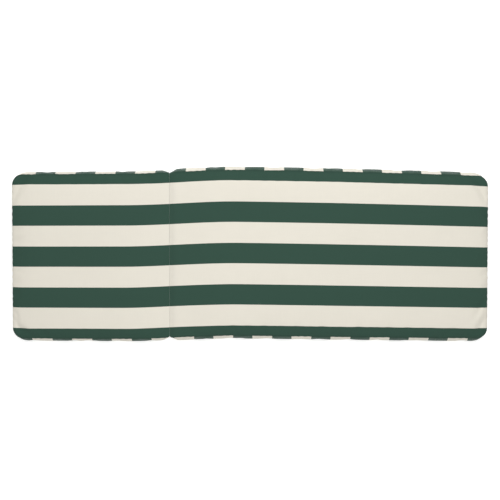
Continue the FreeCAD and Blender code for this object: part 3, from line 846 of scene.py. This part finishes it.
# %% Places on the cloth
def on_cloth(section, y, z):
    """Points and outward directions of the cover's far end at places y, z of the pad."""
    tree = BVHTree.FromObject(covers[section.name][0], bpy.context.evaluated_depsgraph_get())
    start = HINGE_X + section.points * (section.length + 0.05)
    inward = Vector((-section.points, 0, 0))
    hits = [tree.ray_cast(Vector((start, *place)), inward) for place in zip(y, z)]
    return np.array([hit[0] for hit in hits]), np.array([hit[1] for hit in hits])


def frames_on(normals, along):
    """Frames whose first row runs along the stitches and whose last faces out of the cloth."""
    along = along - (along * normals).sum(axis=1, keepdims=True) * normals
    along /= np.linalg.norm(along, axis=1, keepdims=True)
    return np.stack([along, np.cross(normals, along), normals], axis=1)

# %% [markdown]
# ## Topstitching
# A line of straight stitches holds each gusset's folded edge. One stitch is a short thread that
# comes up, runs along the cloth and goes down again: height = sin(pi t) ^ 0.5 over its length.

# %% Stitch rows
STITCH_LENGTH = 3.3 * MM
STITCH_PITCH = 4.4 * MM
THREAD_RADIUS = 0.28 * MM
EDGE_TO_STITCH = 4.5 * MM
THREAD_ARCH, THREAD_SUNK = 1.5, 0.9


def stitch_shape(length):
    """A short arched tube, sunk at both ends."""
    t = np.linspace(0, 1, 7)
    arch = np.sin(np.pi * t) ** 0.5
    height = THREAD_RADIUS * (THREAD_ARCH * arch - THREAD_SUNK)
    path = np.stack([(t - 0.5) * length, np.zeros_like(t), height], axis=-1)
    side = np.broadcast_to([0.0, 1.0, 0.0], path.shape)
    up = np.broadcast_to([0.0, 0.0, 1.0], path.shape)
    return tube(path, side, up, THREAD_RADIUS * (0.75 + 0.25 * arch), 6)


def stitch_row(name, section, y, z, along, length=STITCH_LENGTH):
    """Stitches on the far end's cloth at places y, z, each running along a direction."""
    points, normals = on_cloth(section, y, z)
    directions = np.broadcast_to(along, normals.shape).astype(float)
    row = add_repeated(name, stitch_shape(length), frames_on(normals, directions), points)
    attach(row, section.name)
    return row


threads = [binding]
for section in SECTIONS:
    room = GUSSET_HALF - POCKET_FADE
    along_zip = np.arange(-room, room, STITCH_PITCH)
    shift = lay(np.array([[HINGE_X + section.points * section.length, 0, 0]]))[0, 1]
    for side, height in (("upper", ZIP_HIGH + EDGE_TO_STITCH), ("lower", ZIP_LOW - EDGE_TO_STITCH)):
        places = np.full_like(along_zip, height)
        name = f"{section.name}_topstitch_{side}"
        threads.append(stitch_row(name, section, along_zip + shift, places, (0, 1, 0)))
print(f"{len(threads) - 1} rows of about {len(along_zip)} stitches")

# %% [markdown]
# ## The care label
# The label is a small piece of satin ribbon sewn flat to the upper gusset at the head end. It is
# blank. It is a thin closed sheet laid on the cloth, lifting a little at its two lower corners.

# %% Care label
LABEL_THICKNESS = 0.35 * MM
LABEL_LIFT = 0.25 * MM
LABEL_CURL, CURL_REACH = 0.9 * MM, 8 * MM
LABEL_WAVE = 0.06 * MM
LABEL_STITCH, LABEL_PITCH = 1.9 * MM, 2.6 * MM
LABEL_HEM_TOP, LABEL_HEM = 2 * MM, 3 * MM


def laid_sheet(name, points, normals, thickness):
    """A closed thin sheet from a grid of points: two faces and the rim between them."""
    rows, columns = points.shape[:2]
    ids = np.arange(rows * columns).reshape(rows, columns)
    walk = ring_walk(rows - 1, columns - 1)
    rim = ids[walk]
    rim_faces = np.stack([rim, np.roll(rim, -1), np.roll(rim, -1) + ids.size, rim + ids.size], axis=-1)
    front = points + normals * thickness
    faces = np.concatenate([quads(ids)[:, ::-1], quads(ids) + ids.size, rim_faces])
    both = np.concatenate([points.reshape(-1, 3), front.reshape(-1, 3)])
    sheet_uv = np.tile(both[:, [1, 2]], 1)[faces]
    return add_mesh(name, both, faces, sheet_uv)


def care_label():
    """The label's grid, laid on the gusset: offset = lift + curl near its lower corners."""
    low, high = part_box("back_care_label")
    y, z = np.meshgrid(np.linspace(high.y, low.y, 31), np.linspace(low.z, high.z, 17), indexing="ij")
    points, normals = on_cloth(BACK, y.ravel(), z.ravel())
    points, normals = points.reshape(*y.shape, 3), normals.reshape(*y.shape, 3)
    corner = np.abs((y - low.y) / (high.y - low.y) * 2 - 1) ** 6
    corner = corner * smooth((low.z + CURL_REACH - z) / CURL_REACH)
    lift = LABEL_LIFT + LABEL_CURL * corner + wave(y / 0.05, np.array([2, 3, 5]), 7) * LABEL_WAVE
    return laid_sheet("care_label_satin", points + normals * lift[..., None], normals, LABEL_THICKNESS)


label = care_label()
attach(label, "back")
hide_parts("back_care_label")
label_low, label_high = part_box("back_care_label")
across = np.arange(label_low.y + LABEL_HEM, label_high.y - LABEL_HEM_TOP, LABEL_PITCH)
for where, height in (("top", label_high.z - LABEL_HEM_TOP), ("bottom", label_low.z + LABEL_HEM)):
    places = np.full_like(across, height)
    row = stitch_row(f"label_stitch_{where}", BACK, across, places, (0, 1, 0), LABEL_STITCH)
    lifted = points_of(row.data) + np.array([-(LABEL_THICKNESS + LABEL_LIFT), 0, 0])
    row.data.vertices.foreach_set("co", lifted.ravel())
    threads.append(row)
print(f"label: {(label_high.y - label_low.y) / MM:.0f} mm wide, {len(label.data.polygons)} faces")

# %% [markdown]
# ## Node groups
# Each effect that several finishes share is a node group with named inputs, built once. The
# helpers here keep the wiring short: one makes a group and its sockets, and one makes a maths
# node whose inputs may be numbers or other nodes' outputs.

# %% Node helpers
def new_group(name, inputs, outputs):
    """A shader node group with sockets given as (name, kind, default)."""
    group = bpy.data.node_groups.new(name, "ShaderNodeTree")
    for label, kind, default in inputs:
        socket = group.interface.new_socket(label, in_out="INPUT", socket_type=f"NodeSocket{kind}")
        if default is not None:
            socket.default_value = default
    for label, kind in outputs:
        group.interface.new_socket(label, in_out="OUTPUT", socket_type=f"NodeSocket{kind}")
    return group, group.nodes.new("NodeGroupInput"), group.nodes.new("NodeGroupOutput")


def feed(tree, socket, value):
    """Gives a socket a number, a colour or another node's output."""
    if isinstance(value, bpy.types.NodeSocket):
        tree.links.new(value, socket)
    elif value is not None:
        socket.default_value = value


def maths(tree, operation, a, b=None, c=None):
    """One Math node, and its output."""
    node = tree.nodes.new("ShaderNodeMath")
    node.operation = operation
    for socket, value in zip(node.inputs, (a, b, c)):
        feed(tree, socket, value)
    return node.outputs[0]


def ramp(tree, value, low, high, to_low=0.0, to_high=1.0):
    """A smooth step of a value between two limits."""
    node = tree.nodes.new("ShaderNodeMapRange")
    node.interpolation_type = "SMOOTHSTEP"
    for key, given in (("Value", value), ("From Min", low), ("From Max", high),
                       ("To Min", to_low), ("To Max", to_high)):
        feed(tree, node.inputs[key], given)
    return node.outputs["Result"]


def mix_colour(tree, share, a, b, blend="MIX"):
    """Mixes two colours by a share."""
    node = tree.nodes.new("ShaderNodeMix")
    node.data_type = "RGBA"
    node.blend_type = blend
    for key, given in ((0, share), (6, a), (7, b)):
        feed(tree, node.inputs[key], given)
    return node.outputs[2]


def tint(tree, colour, shade):
    """A colour multiplied by a grey shade."""
    grey = tree.nodes.new("ShaderNodeCombineColor")
    for socket in grey.inputs:
        feed(tree, socket, shade)
    return mix_colour(tree, 1.0, colour, grey.outputs[0], "MULTIPLY")


def scaled(tree, vector, factors):
    """A vector times three factors."""
    node = tree.nodes.new("ShaderNodeVectorMath")
    node.operation = "MULTIPLY"
    feed(tree, node.inputs[0], vector)
    feed(tree, node.inputs[1], factors)
    return node.outputs[0]


def noise(tree, vector, scale, detail=3.0):
    """Fractal noise of a vector, 0 to 1."""
    node = tree.nodes.new("ShaderNodeTexNoise")
    feed(tree, node.inputs["Vector"], vector)
    node.inputs["Scale"].default_value = scale
    node.inputs["Detail"].default_value = detail
    return node.outputs["Fac"]

# %% [markdown]
# ## Block stripes and canvas
# Awning cloth is woven with its stripes in the warp, so a stripe is a set of dyed threads with a
# straight, crisp edge. The stripe group reads only how far across the cloth a point is: the
# distance to the nearest stripe's middle, compared with half the stripe's width.
# The canvas group draws the plain weave: ridges of sin(pi u) one way and sin(pi v) the other,
# swapped in a checker, with slow slubs along the threads that make them a little uneven.

# %% Cloth node groups
SOFT_EDGE = 0.5 * MM
SLUB_STRETCH = ((14, 700, 0), (700, 14, 0))
SLUB_HEIGHT = 0.8
SLUB_SHADE = 0.045
SLOW_SHARE = 0.65


def make_stripe_group():
    """1 within half a band of a stripe's middle, 0 outside, with a soft edge."""
    group, given, out = new_group(
        "block_stripe",
        [("Cloth", "Vector", None), ("Period", "Float", 0.16), ("Band", "Float", 0.08)],
        [("Mask", "Float")],
    )
    split = group.nodes.new("ShaderNodeSeparateXYZ")
    group.links.new(given.outputs["Cloth"], split.inputs[0])
    turns = maths(group, "DIVIDE", split.outputs["Y"], given.outputs["Period"])
    place = maths(group, "SUBTRACT", turns, maths(group, "ROUND", turns))
    distance = maths(group, "MULTIPLY", maths(group, "ABSOLUTE", place), given.outputs["Period"])
    past = maths(group, "SUBTRACT", distance, maths(group, "DIVIDE", given.outputs["Band"], 2.0))
    mask = ramp(group, past, -SOFT_EDGE, SOFT_EDGE, 1.0, 0.0)
    group.links.new(mask, out.inputs["Mask"])
    return group


def make_canvas_group():
    """A plain weave with slubs: its height, and a shade of 1 less a little."""
    group, given, out = new_group(
        "canvas_weave",
        [("Cloth", "Vector", None), ("Thread", "Float", 0.0007)],
        [("Height", "Float"), ("Shade", "Float")],
    )
    cloth = given.outputs["Cloth"]
    split = group.nodes.new("ShaderNodeSeparateXYZ")
    group.links.new(cloth, split.inputs[0])
    along = maths(group, "DIVIDE", split.outputs["X"], given.outputs["Thread"])
    across = maths(group, "DIVIDE", split.outputs["Y"], given.outputs["Thread"])
    ridge_along, ridge_across = [
        maths(group, "ABSOLUTE", maths(group, "SINE", maths(group, "MULTIPLY", way, np.pi)))
        for way in (along, across)
    ]
    checker = group.nodes.new("ShaderNodeTexChecker")
    threads = group.nodes.new("ShaderNodeCombineXYZ")
    group.links.new(along, threads.inputs[0])
    group.links.new(across, threads.inputs[1])
    group.links.new(threads.outputs[0], checker.inputs["Vector"])
    checker.inputs["Scale"].default_value = 1.0
    over = checker.outputs["Fac"]
    lifted = maths(group, "MULTIPLY", ridge_along, over)
    sunk = maths(group, "MULTIPLY", ridge_across, maths(group, "SUBTRACT", 1.0, over))
    weave = maths(group, "ADD", lifted, sunk)
    slub = maths(group, "ADD", *[noise(group, scaled(group, cloth, s), 1.0) for s in SLUB_STRETCH])
    height = maths(group, "ADD", weave, maths(group, "MULTIPLY", slub, SLUB_HEIGHT))
    shade = maths(group, "ADD", 1 - SLUB_SHADE, maths(group, "MULTIPLY", slub, SLUB_SHADE))
    group.links.new(height, out.inputs["Height"])
    group.links.new(shade, out.inputs["Shade"])
    return group


def make_outdoor_group():
    """Slow fading and faint soiling of cloth that has been outside."""
    group, given, out = new_group(
        "outdoor_fade",
        [("Place", "Vector", None), ("Amount", "Float", 0.05)],
        [("Shade", "Float")],
    )
    slow = noise(group, given.outputs["Place"], 4.0, 2.0)
    patchy = noise(group, given.outputs["Place"], 27.0, 4.0)
    patches = maths(group, "MULTIPLY", patchy, 1 - SLOW_SHARE)
    both = maths(group, "ADD", maths(group, "MULTIPLY", slow, SLOW_SHARE), patches)
    shade = maths(group, "SUBTRACT", 1.0, maths(group, "MULTIPLY", both, given.outputs["Amount"]))
    group.links.new(shade, out.inputs["Shade"])
    return group


def make_seam_shade_group():
    """Painted shade beside a seam: cloth darker by depth * crease, unevenly along it."""
    group, given, out = new_group(
        "seam_crease",
        [("Crease", "Float", 0.0), ("Place", "Vector", None), ("Depth", "Float", 0.2)],
        [("Shade", "Float")],
    )
    uneven = ramp(group, noise(group, given.outputs["Place"], 35.0, 2.0), 0.3, 0.7, 0.65, 1.0)
    depth = maths(group, "MULTIPLY", maths(group, "MULTIPLY", given.outputs["Crease"], uneven),
                  given.outputs["Depth"])
    group.links.new(maths(group, "SUBTRACT", 1.0, depth), out.inputs["Shade"])
    return group


def make_twist_group():
    """Plies of a twisted strand: sin(2 pi (length / lay + turn)), 0 to 1."""
    group, given, out = new_group(
        "thread_twist", [("Strand", "Vector", None), ("Lay", "Float", 0.001)], [("Height", "Float")]
    )
    split = group.nodes.new("ShaderNodeSeparateXYZ")
    group.links.new(given.outputs["Strand"], split.inputs[0])
    turns = maths(group, "DIVIDE", split.outputs["X"], given.outputs["Lay"])
    phase = maths(group, "MULTIPLY", maths(group, "ADD", turns, split.outputs["Y"]), 2 * np.pi)
    height = maths(group, "ADD", 0.5, maths(group, "MULTIPLY", maths(group, "SINE", phase), 0.5))
    group.links.new(height, out.inputs["Height"])
    return group


def make_herringbone_group():
    """Slanted ribs that turn back at each column: sin(2 pi (u + |v'|)), 0 to 1."""
    group, given, out = new_group(
        "herringbone", [("Cloth", "Vector", None), ("Thread", "Float", 0.0005)], [("Height", "Float")]
    )
    split = group.nodes.new("ShaderNodeSeparateXYZ")
    group.links.new(given.outputs["Cloth"], split.inputs[0])
    along = maths(group, "DIVIDE", split.outputs["X"], given.outputs["Thread"])
    across = maths(group, "DIVIDE", split.outputs["Y"], given.outputs["Thread"])
    zigzag = maths(group, "PINGPONG", across, 4.0)
    phase = maths(group, "MULTIPLY", maths(group, "ADD", along, zigzag), np.pi)
    height = maths(group, "ABSOLUTE", maths(group, "SINE", phase))
    group.links.new(height, out.inputs["Height"])
    return group


def make_rub_group():
    """Patches dulled by handling, and fine scratches: noise, and noise drawn out one way."""
    group, given, out = new_group(
        "handled", [("Place", "Vector", None), ("Reach", "Float", 200.0)],
        [("Dull", "Float"), ("Scratch", "Float")],
    )
    node = group.nodes.new("ShaderNodeTexNoise")
    group.links.new(given.outputs["Place"], node.inputs["Vector"])
    group.links.new(given.outputs["Reach"], node.inputs["Scale"])
    group.links.new(ramp(group, node.outputs["Fac"], 0.4, 0.7), out.inputs["Dull"])
    scratch = noise(group, scaled(group, given.outputs["Place"], (1, 0.2, 1)), 2400.0, 2.0)
    group.links.new(scratch, out.inputs["Scratch"])
    return group


STRIPE_GROUP = make_stripe_group()
CANVAS_GROUP = make_canvas_group()
OUTDOOR_GROUP = make_outdoor_group()
SEAM_SHADE_GROUP = make_seam_shade_group()
TWIST_GROUP = make_twist_group()
HERRINGBONE_GROUP = make_herringbone_group()
RUB_GROUP = make_rub_group()
print("node groups:", sorted(group.name for group in bpy.data.node_groups))

# %% [markdown]
# ## Finishes
# A helper makes a material with a Principled BSDF and a group in it. Colours are written as they
# look on a screen and turned into the linear values that the shader wants.

# %% Materials
def linear(red, green, blue):
    """A screen colour, each part 0 to 255, as the shader's linear colour."""
    part = np.array([red, green, blue]) / 255
    value = np.where(part <= 0.04045, part / 12.92, ((part + 0.055) / 1.055) ** 2.4)
    return (*[float(v) for v in value], 1.0)


def new_material(name, roughness, **sockets):
    """A material with plain values on its Principled BSDF's own sockets."""
    material = bpy.data.materials.new(name)
    material.use_nodes = True
    shader = material.node_tree.nodes["Principled BSDF"]
    shader.inputs["Roughness"].default_value = roughness
    for label, value in sockets.items():
        shader.inputs[label.replace("_", " ")].default_value = value
    return material, material.node_tree, shader


def place_group(tree, group, **given):
    """A node group placed in a material, its inputs given by name."""
    node = tree.nodes.new("ShaderNodeGroup")
    node.node_tree = group
    for label, value in given.items():
        feed(tree, node.inputs[label], value)
    return node


def bump(tree, shader, height, distance, strength=1.0):
    """Feeds a height to a shader's normal."""
    node = tree.nodes.new("ShaderNodeBump")
    node.inputs["Distance"].default_value = distance
    node.inputs["Strength"].default_value = strength
    tree.links.new(height, node.inputs["Height"])
    tree.links.new(node.outputs[0], shader.inputs["Normal"])

# %% [markdown]
# ## Awning canvas
# The cover's finish follows its own UV map, which holds the flat cloth in metres: along a thread,
# then across the stripes. The painted seam shade, kept on the points, darkens the cloth beside its
# seams and by the floor. Sheen gives the dusty brightening that solution-dyed acrylic shows seen
# edge-on.

# %% Cover material
GREEN = linear(46, 74, 62)
CREAM = linear(229, 224, 211)
STRIPE_BAND = 81 * MM
CANVAS_THREAD = 0.75 * MM


def striped_canvas():
    """Stripe colours, times the weave's, the weather's and the seams' shades."""
    material, tree, shader = new_material(
        "striped_canvas", 0.85, Sheen_Weight=0.3, Sheen_Roughness=0.4, Specular_IOR_Level=0.25
    )
    cloth = tree.nodes.new("ShaderNodeUVMap")
    cloth.uv_map = "cloth"
    place = tree.nodes.new("ShaderNodeTexCoord").outputs["Object"]
    # Reads the painted shade kept on the points.
    seam = tree.nodes.new("ShaderNodeAttribute")
    seam.attribute_name = "seam_crease"
    stripe = place_group(
        tree, STRIPE_GROUP, Cloth=cloth.outputs[0], Period=PATTERN_PERIOD, Band=STRIPE_BAND
    )
    canvas = place_group(tree, CANVAS_GROUP, Cloth=cloth.outputs[0], Thread=CANVAS_THREAD)
    fade = place_group(tree, OUTDOOR_GROUP, Place=place, Amount=0.07)
    # Painted shade beside the seams and by the floor.
    crease_shade = place_group(
        tree, SEAM_SHADE_GROUP, Crease=seam.outputs["Fac"], Place=place, Depth=0.3
    )
    colour = mix_colour(tree, stripe.outputs["Mask"], CREAM, GREEN)
    shade = maths(tree, "MULTIPLY", canvas.outputs["Shade"], fade.outputs["Shade"])
    shade = maths(tree, "MULTIPLY", shade, crease_shade.outputs["Shade"])
    tree.links.new(tint(tree, colour, shade), shader.inputs["Base Color"])
    rough = maths(tree, "ADD", 0.78, maths(tree, "MULTIPLY", fade.outputs["Shade"], 0.1))
    tree.links.new(rough, shader.inputs["Roughness"])
    bump(tree, shader, canvas.outputs["Height"], 0.00022, 0.5)
    return material


CANVAS = striped_canvas()
for cover, _, _ in covers.values():
    cover.data.materials.append(CANVAS)
print(f"{CANVAS.name}: {len(CANVAS.node_tree.nodes)} nodes")

# %% [markdown]
# ## Thread, tape and label
# Sewing thread and the binding share a twist group: dark lines of painted shade between the plies
# that run round the strand at a slant, from the tube's own UV. The binding also has the cover's
# stripes, paled as a painted highlight. The zip's tape is a herringbone webbing, and the label a
# satin ribbon, both from their UV in metres, with painted shade between their ribs.

# %% Thread, tape and label materials
def hinge_stripes(tree):
    """Painted highlight: the cover's stripes, paled, where the hinge crosses them, from the pad's own y
    less its bend there.
    """
    place = tree.nodes.new("ShaderNodeTexCoord").outputs["Object"]
    straight = tree.nodes.new("ShaderNodeVectorMath")
    feed(tree, straight.inputs[0], place)
    straight.inputs[1].default_value = (0, -bend(HINGE_X), 0)
    stripe = place_group(
        tree, STRIPE_GROUP, Cloth=straight.outputs[0], Period=PATTERN_PERIOD, Band=STRIPE_BAND
    )
    return mix_colour(tree, stripe.outputs["Mask"], HIGHLIT_CREAM, HIGHLIT_GREEN)


def twisted(name, colour, roughness, lay_length):
    """A strand's finish. The colour is a plain one, or a function that draws it in the material."""
    material, tree, shader = new_material(
        name, roughness, Sheen_Weight=0.2, Specular_IOR_Level=0.4
    )
    if callable(colour):
        colour = colour(tree)
    strand = tree.nodes.new("ShaderNodeUVMap")
    strand.uv_map = "cloth"
    twist = place_group(tree, TWIST_GROUP, Strand=strand.outputs[0], Lay=lay_length)
    # Painted shade in the grooves between the plies.
    shade = ramp(tree, twist.outputs["Height"], 0.0, 1.0, 0.78, 1.0)
    tree.links.new(tint(tree, colour, shade), shader.inputs["Base Color"])
    bump(tree, shader, twist.outputs["Height"], 0.00012, 0.6)
    return material


def webbing(name, colour, roughness, thread, amount):
    """A narrow woven finish: herringbone ribs with painted shade between them, and a little weathering.
    """
    material, tree, shader = new_material(
        name, roughness, Sheen_Weight=0.15, Specular_IOR_Level=0.4
    )
    cloth = tree.nodes.new("ShaderNodeUVMap")
    cloth.uv_map = "cloth"
    place = tree.nodes.new("ShaderNodeTexCoord").outputs["Object"]
    bone = place_group(tree, HERRINGBONE_GROUP, Cloth=cloth.outputs[0], Thread=thread)
    fade = place_group(tree, OUTDOOR_GROUP, Place=place, Amount=amount)
    # Painted shade in the valleys between the ribs.
    painted_rib_shade = ramp(tree, bone.outputs["Height"], 0, 1, 0.8, 1.0)
    shade = maths(tree, "MULTIPLY", painted_rib_shade, fade.outputs["Shade"])
    tree.links.new(tint(tree, colour, shade), shader.inputs["Base Color"])
    bump(tree, shader, bone.outputs["Height"], 0.0001, 0.5)
    return material


NATURAL_THREAD = twisted("natural_thread", linear(222, 214, 198), 0.6, 1.1 * MM)
# Pale stripe colours that paint a highlight on the binding's rolled edge.
HIGHLIT_GREEN = linear(117, 140, 128)
HIGHLIT_CREAM = linear(245, 241, 231)
ROLLED_TAPE = twisted("striped_binding", hinge_stripes, 0.8, 1.6 * MM)
ZIP_WEBBING = webbing("zip_webbing", linear(40, 62, 53), 0.75, 0.5 * MM, 0.12)
LABEL_SATIN = webbing("label_satin", linear(232, 230, 222), 0.42, 0.22 * MM, 0.06)
for thread in threads:
    thread.data.materials.append(ROLLED_TAPE if thread is binding else NATURAL_THREAD)
for section in SECTIONS:
    for tape in tapes[section.name]:
        tape.data.materials.append(ZIP_WEBBING)
label.data.materials.append(LABEL_SATIN)
print(f"{len(threads)} thread pieces, {2 * len(tapes)} tapes and a label finished")

# %% [markdown]
# ## Nylon and metal
# The coils are dyed nylon: smooth, with a soft highlight. The sliders, pulls and stops are zinc
# with a nickel finish, rubbed in fine lines by use and dulled in patches. Both get their small
# changes from noise on the piece's own coordinates, in metres.

# %% Zip materials
def worn(name, colour, dull_colour, roughness, metallic, reach):
    """A handled finish: duller patches about 1 / reach metres across, and fine scratches."""
    material, tree, shader = new_material(name, roughness)
    place = tree.nodes.new("ShaderNodeTexCoord").outputs["Object"]
    rub = place_group(tree, RUB_GROUP, Place=place, Reach=reach)
    mixed = mix_colour(tree, rub.outputs["Dull"], colour, dull_colour)
    tree.links.new(mixed, shader.inputs["Base Color"])
    shader.inputs["Metallic"].default_value = metallic
    rough = ramp(tree, rub.outputs["Dull"], 0.0, 1.0, roughness, roughness + 0.08)
    tree.links.new(rough, shader.inputs["Roughness"])
    bump(tree, shader, rub.outputs["Scratch"], 0.00003, 0.4)
    return material


NICKEL = worn("worn_nickel", linear(172, 169, 162), linear(160, 157, 149), 0.28, 1.0, 420.0)
NYLON = worn("coil_nylon", linear(44, 66, 57), linear(58, 80, 70), 0.35, 0.0, 180.0)
for section in SECTIONS:
    for coil in coils[section.name]:
        coil.data.materials.append(NYLON)
    for node in ("zip_slider", "zip_pull", "zip_stops"):
        metal = bpy.data.objects[f"{section.name}_{node}"]
        for slot in metal.material_slots:
            slot.material = NICKEL
print("zip metal and nylon finished on", [section.name for section in SECTIONS])

# %% [markdown]
# ## Camera, floor and light
# The camera looks almost straight down from high above, a little from the left side of the pad.
# The light is one wide, soft lamp high over the left side, with a pale sky all round. The floor
# shows the camera plain white and still takes the pad's shadow.

# %% Studio
LENS = 88.6
SENSOR = 36
CAMERA_TARGET = (0.0, 0.024, 0.084)
CAMERA_PLACE = (0.0, 0.193, 5.0)
SKY_LIGHT = 0.51
FLOOR_HALF = 6.0
FLOOR_GLOW = 0.55
# Each lamp: its name, its place, the point it faces, its width in metres and its power in watts.
LAMPS = (
    ("window", (0.15, 0.75, 3.1), (0.1, 0, 0), 2.2, 50.5),
    ("left_fill", (0.0, 3.2, 1.5), (0, 0, 0), 2.0, 31),
    ("right_fill", (0.0, -3.2, 1.3), (0, 0, 0), 2.0, 13),
)


def look_at(thing, target):
    """Turns a camera or lamp to a target, with the top of its picture towards +Y."""
    away = Vector(thing.location) - Vector(target)
    side = Vector((0, 1, 0)).cross(away).normalized()
    axes = Matrix((side, away.cross(side).normalized(), away.normalized()))
    thing.rotation_euler = axes.transposed().to_euler()


def add_camera():
    """The one camera, high above the pad."""
    camera = bpy.data.objects.new("camera", bpy.data.cameras.new("camera"))
    bpy.context.scene.collection.objects.link(camera)
    camera.data.lens = LENS
    camera.data.sensor_width = SENSOR
    camera.location = CAMERA_PLACE
    look_at(camera, CAMERA_TARGET)
    bpy.context.scene.camera = camera
    return camera


def add_area(name, place, target, size, power):
    """A round soft lamp that faces a target."""
    light = bpy.data.lights.new(name, "AREA")
    light.shape = "DISK"
    light.size = size
    light.energy = power
    thing = bpy.data.objects.new(name, light)
    bpy.context.scene.collection.objects.link(thing)
    thing.location = place
    look_at(thing, target)


def add_floor():
    """A wide plain square under the pad."""
    grid = np.array([[0, 1], [2, 3]])
    corners = np.array([[-1, -1, 0], [-1, 1, 0], [1, -1, 0], [1, 1, 0]]) * FLOOR_HALF
    floor = add_mesh("floor", corners, quads(grid))
    return floor


def seen_by_eye(tree):
    """1 where a surface is seen, straight on or in a gloss, and 0 where it only gives light."""
    paths = tree.nodes.new("ShaderNodeLightPath")
    seen = maths(tree, "MAXIMUM", paths.outputs["Is Camera Ray"], paths.outputs["Is Glossy Ray"])
    return maths(tree, "MAXIMUM", seen, paths.outputs["Is Transmission Ray"])


add_camera()
for lamp in LAMPS:
    add_area(*lamp)
floor = add_floor()
floor_material, floor_tree, floor_shader = new_material("pale_floor", 0.9)
floor_shader.inputs["Base Color"].default_value = linear(235, 235, 233)
seen = seen_by_eye(floor_tree)
floor_shader.inputs["Emission Color"].default_value = (1, 1, 1, 1)
glow = maths(floor_tree, "MULTIPLY", seen, FLOOR_GLOW)
floor_tree.links.new(glow, floor_shader.inputs["Emission Strength"])
floor.data.materials.append(floor_material)

world = bpy.data.worlds.new("sky")
bpy.context.scene.world = world
world.use_nodes = True
sky = world.node_tree.nodes["Background"]
sky.inputs["Color"].default_value = (1, 1, 1, 1)
sky_seen = seen_by_eye(world.node_tree)
sky_strength = ramp(world.node_tree, sky_seen, 0.0, 1.0, SKY_LIGHT, 1.0)
feed(world.node_tree, sky.inputs["Strength"], sky_strength)
bpy.context.scene.view_settings.view_transform = "Standard"
print(f"{len(LAMPS)} lamps, and a camera {CAMERA_PLACE[2]} m up")
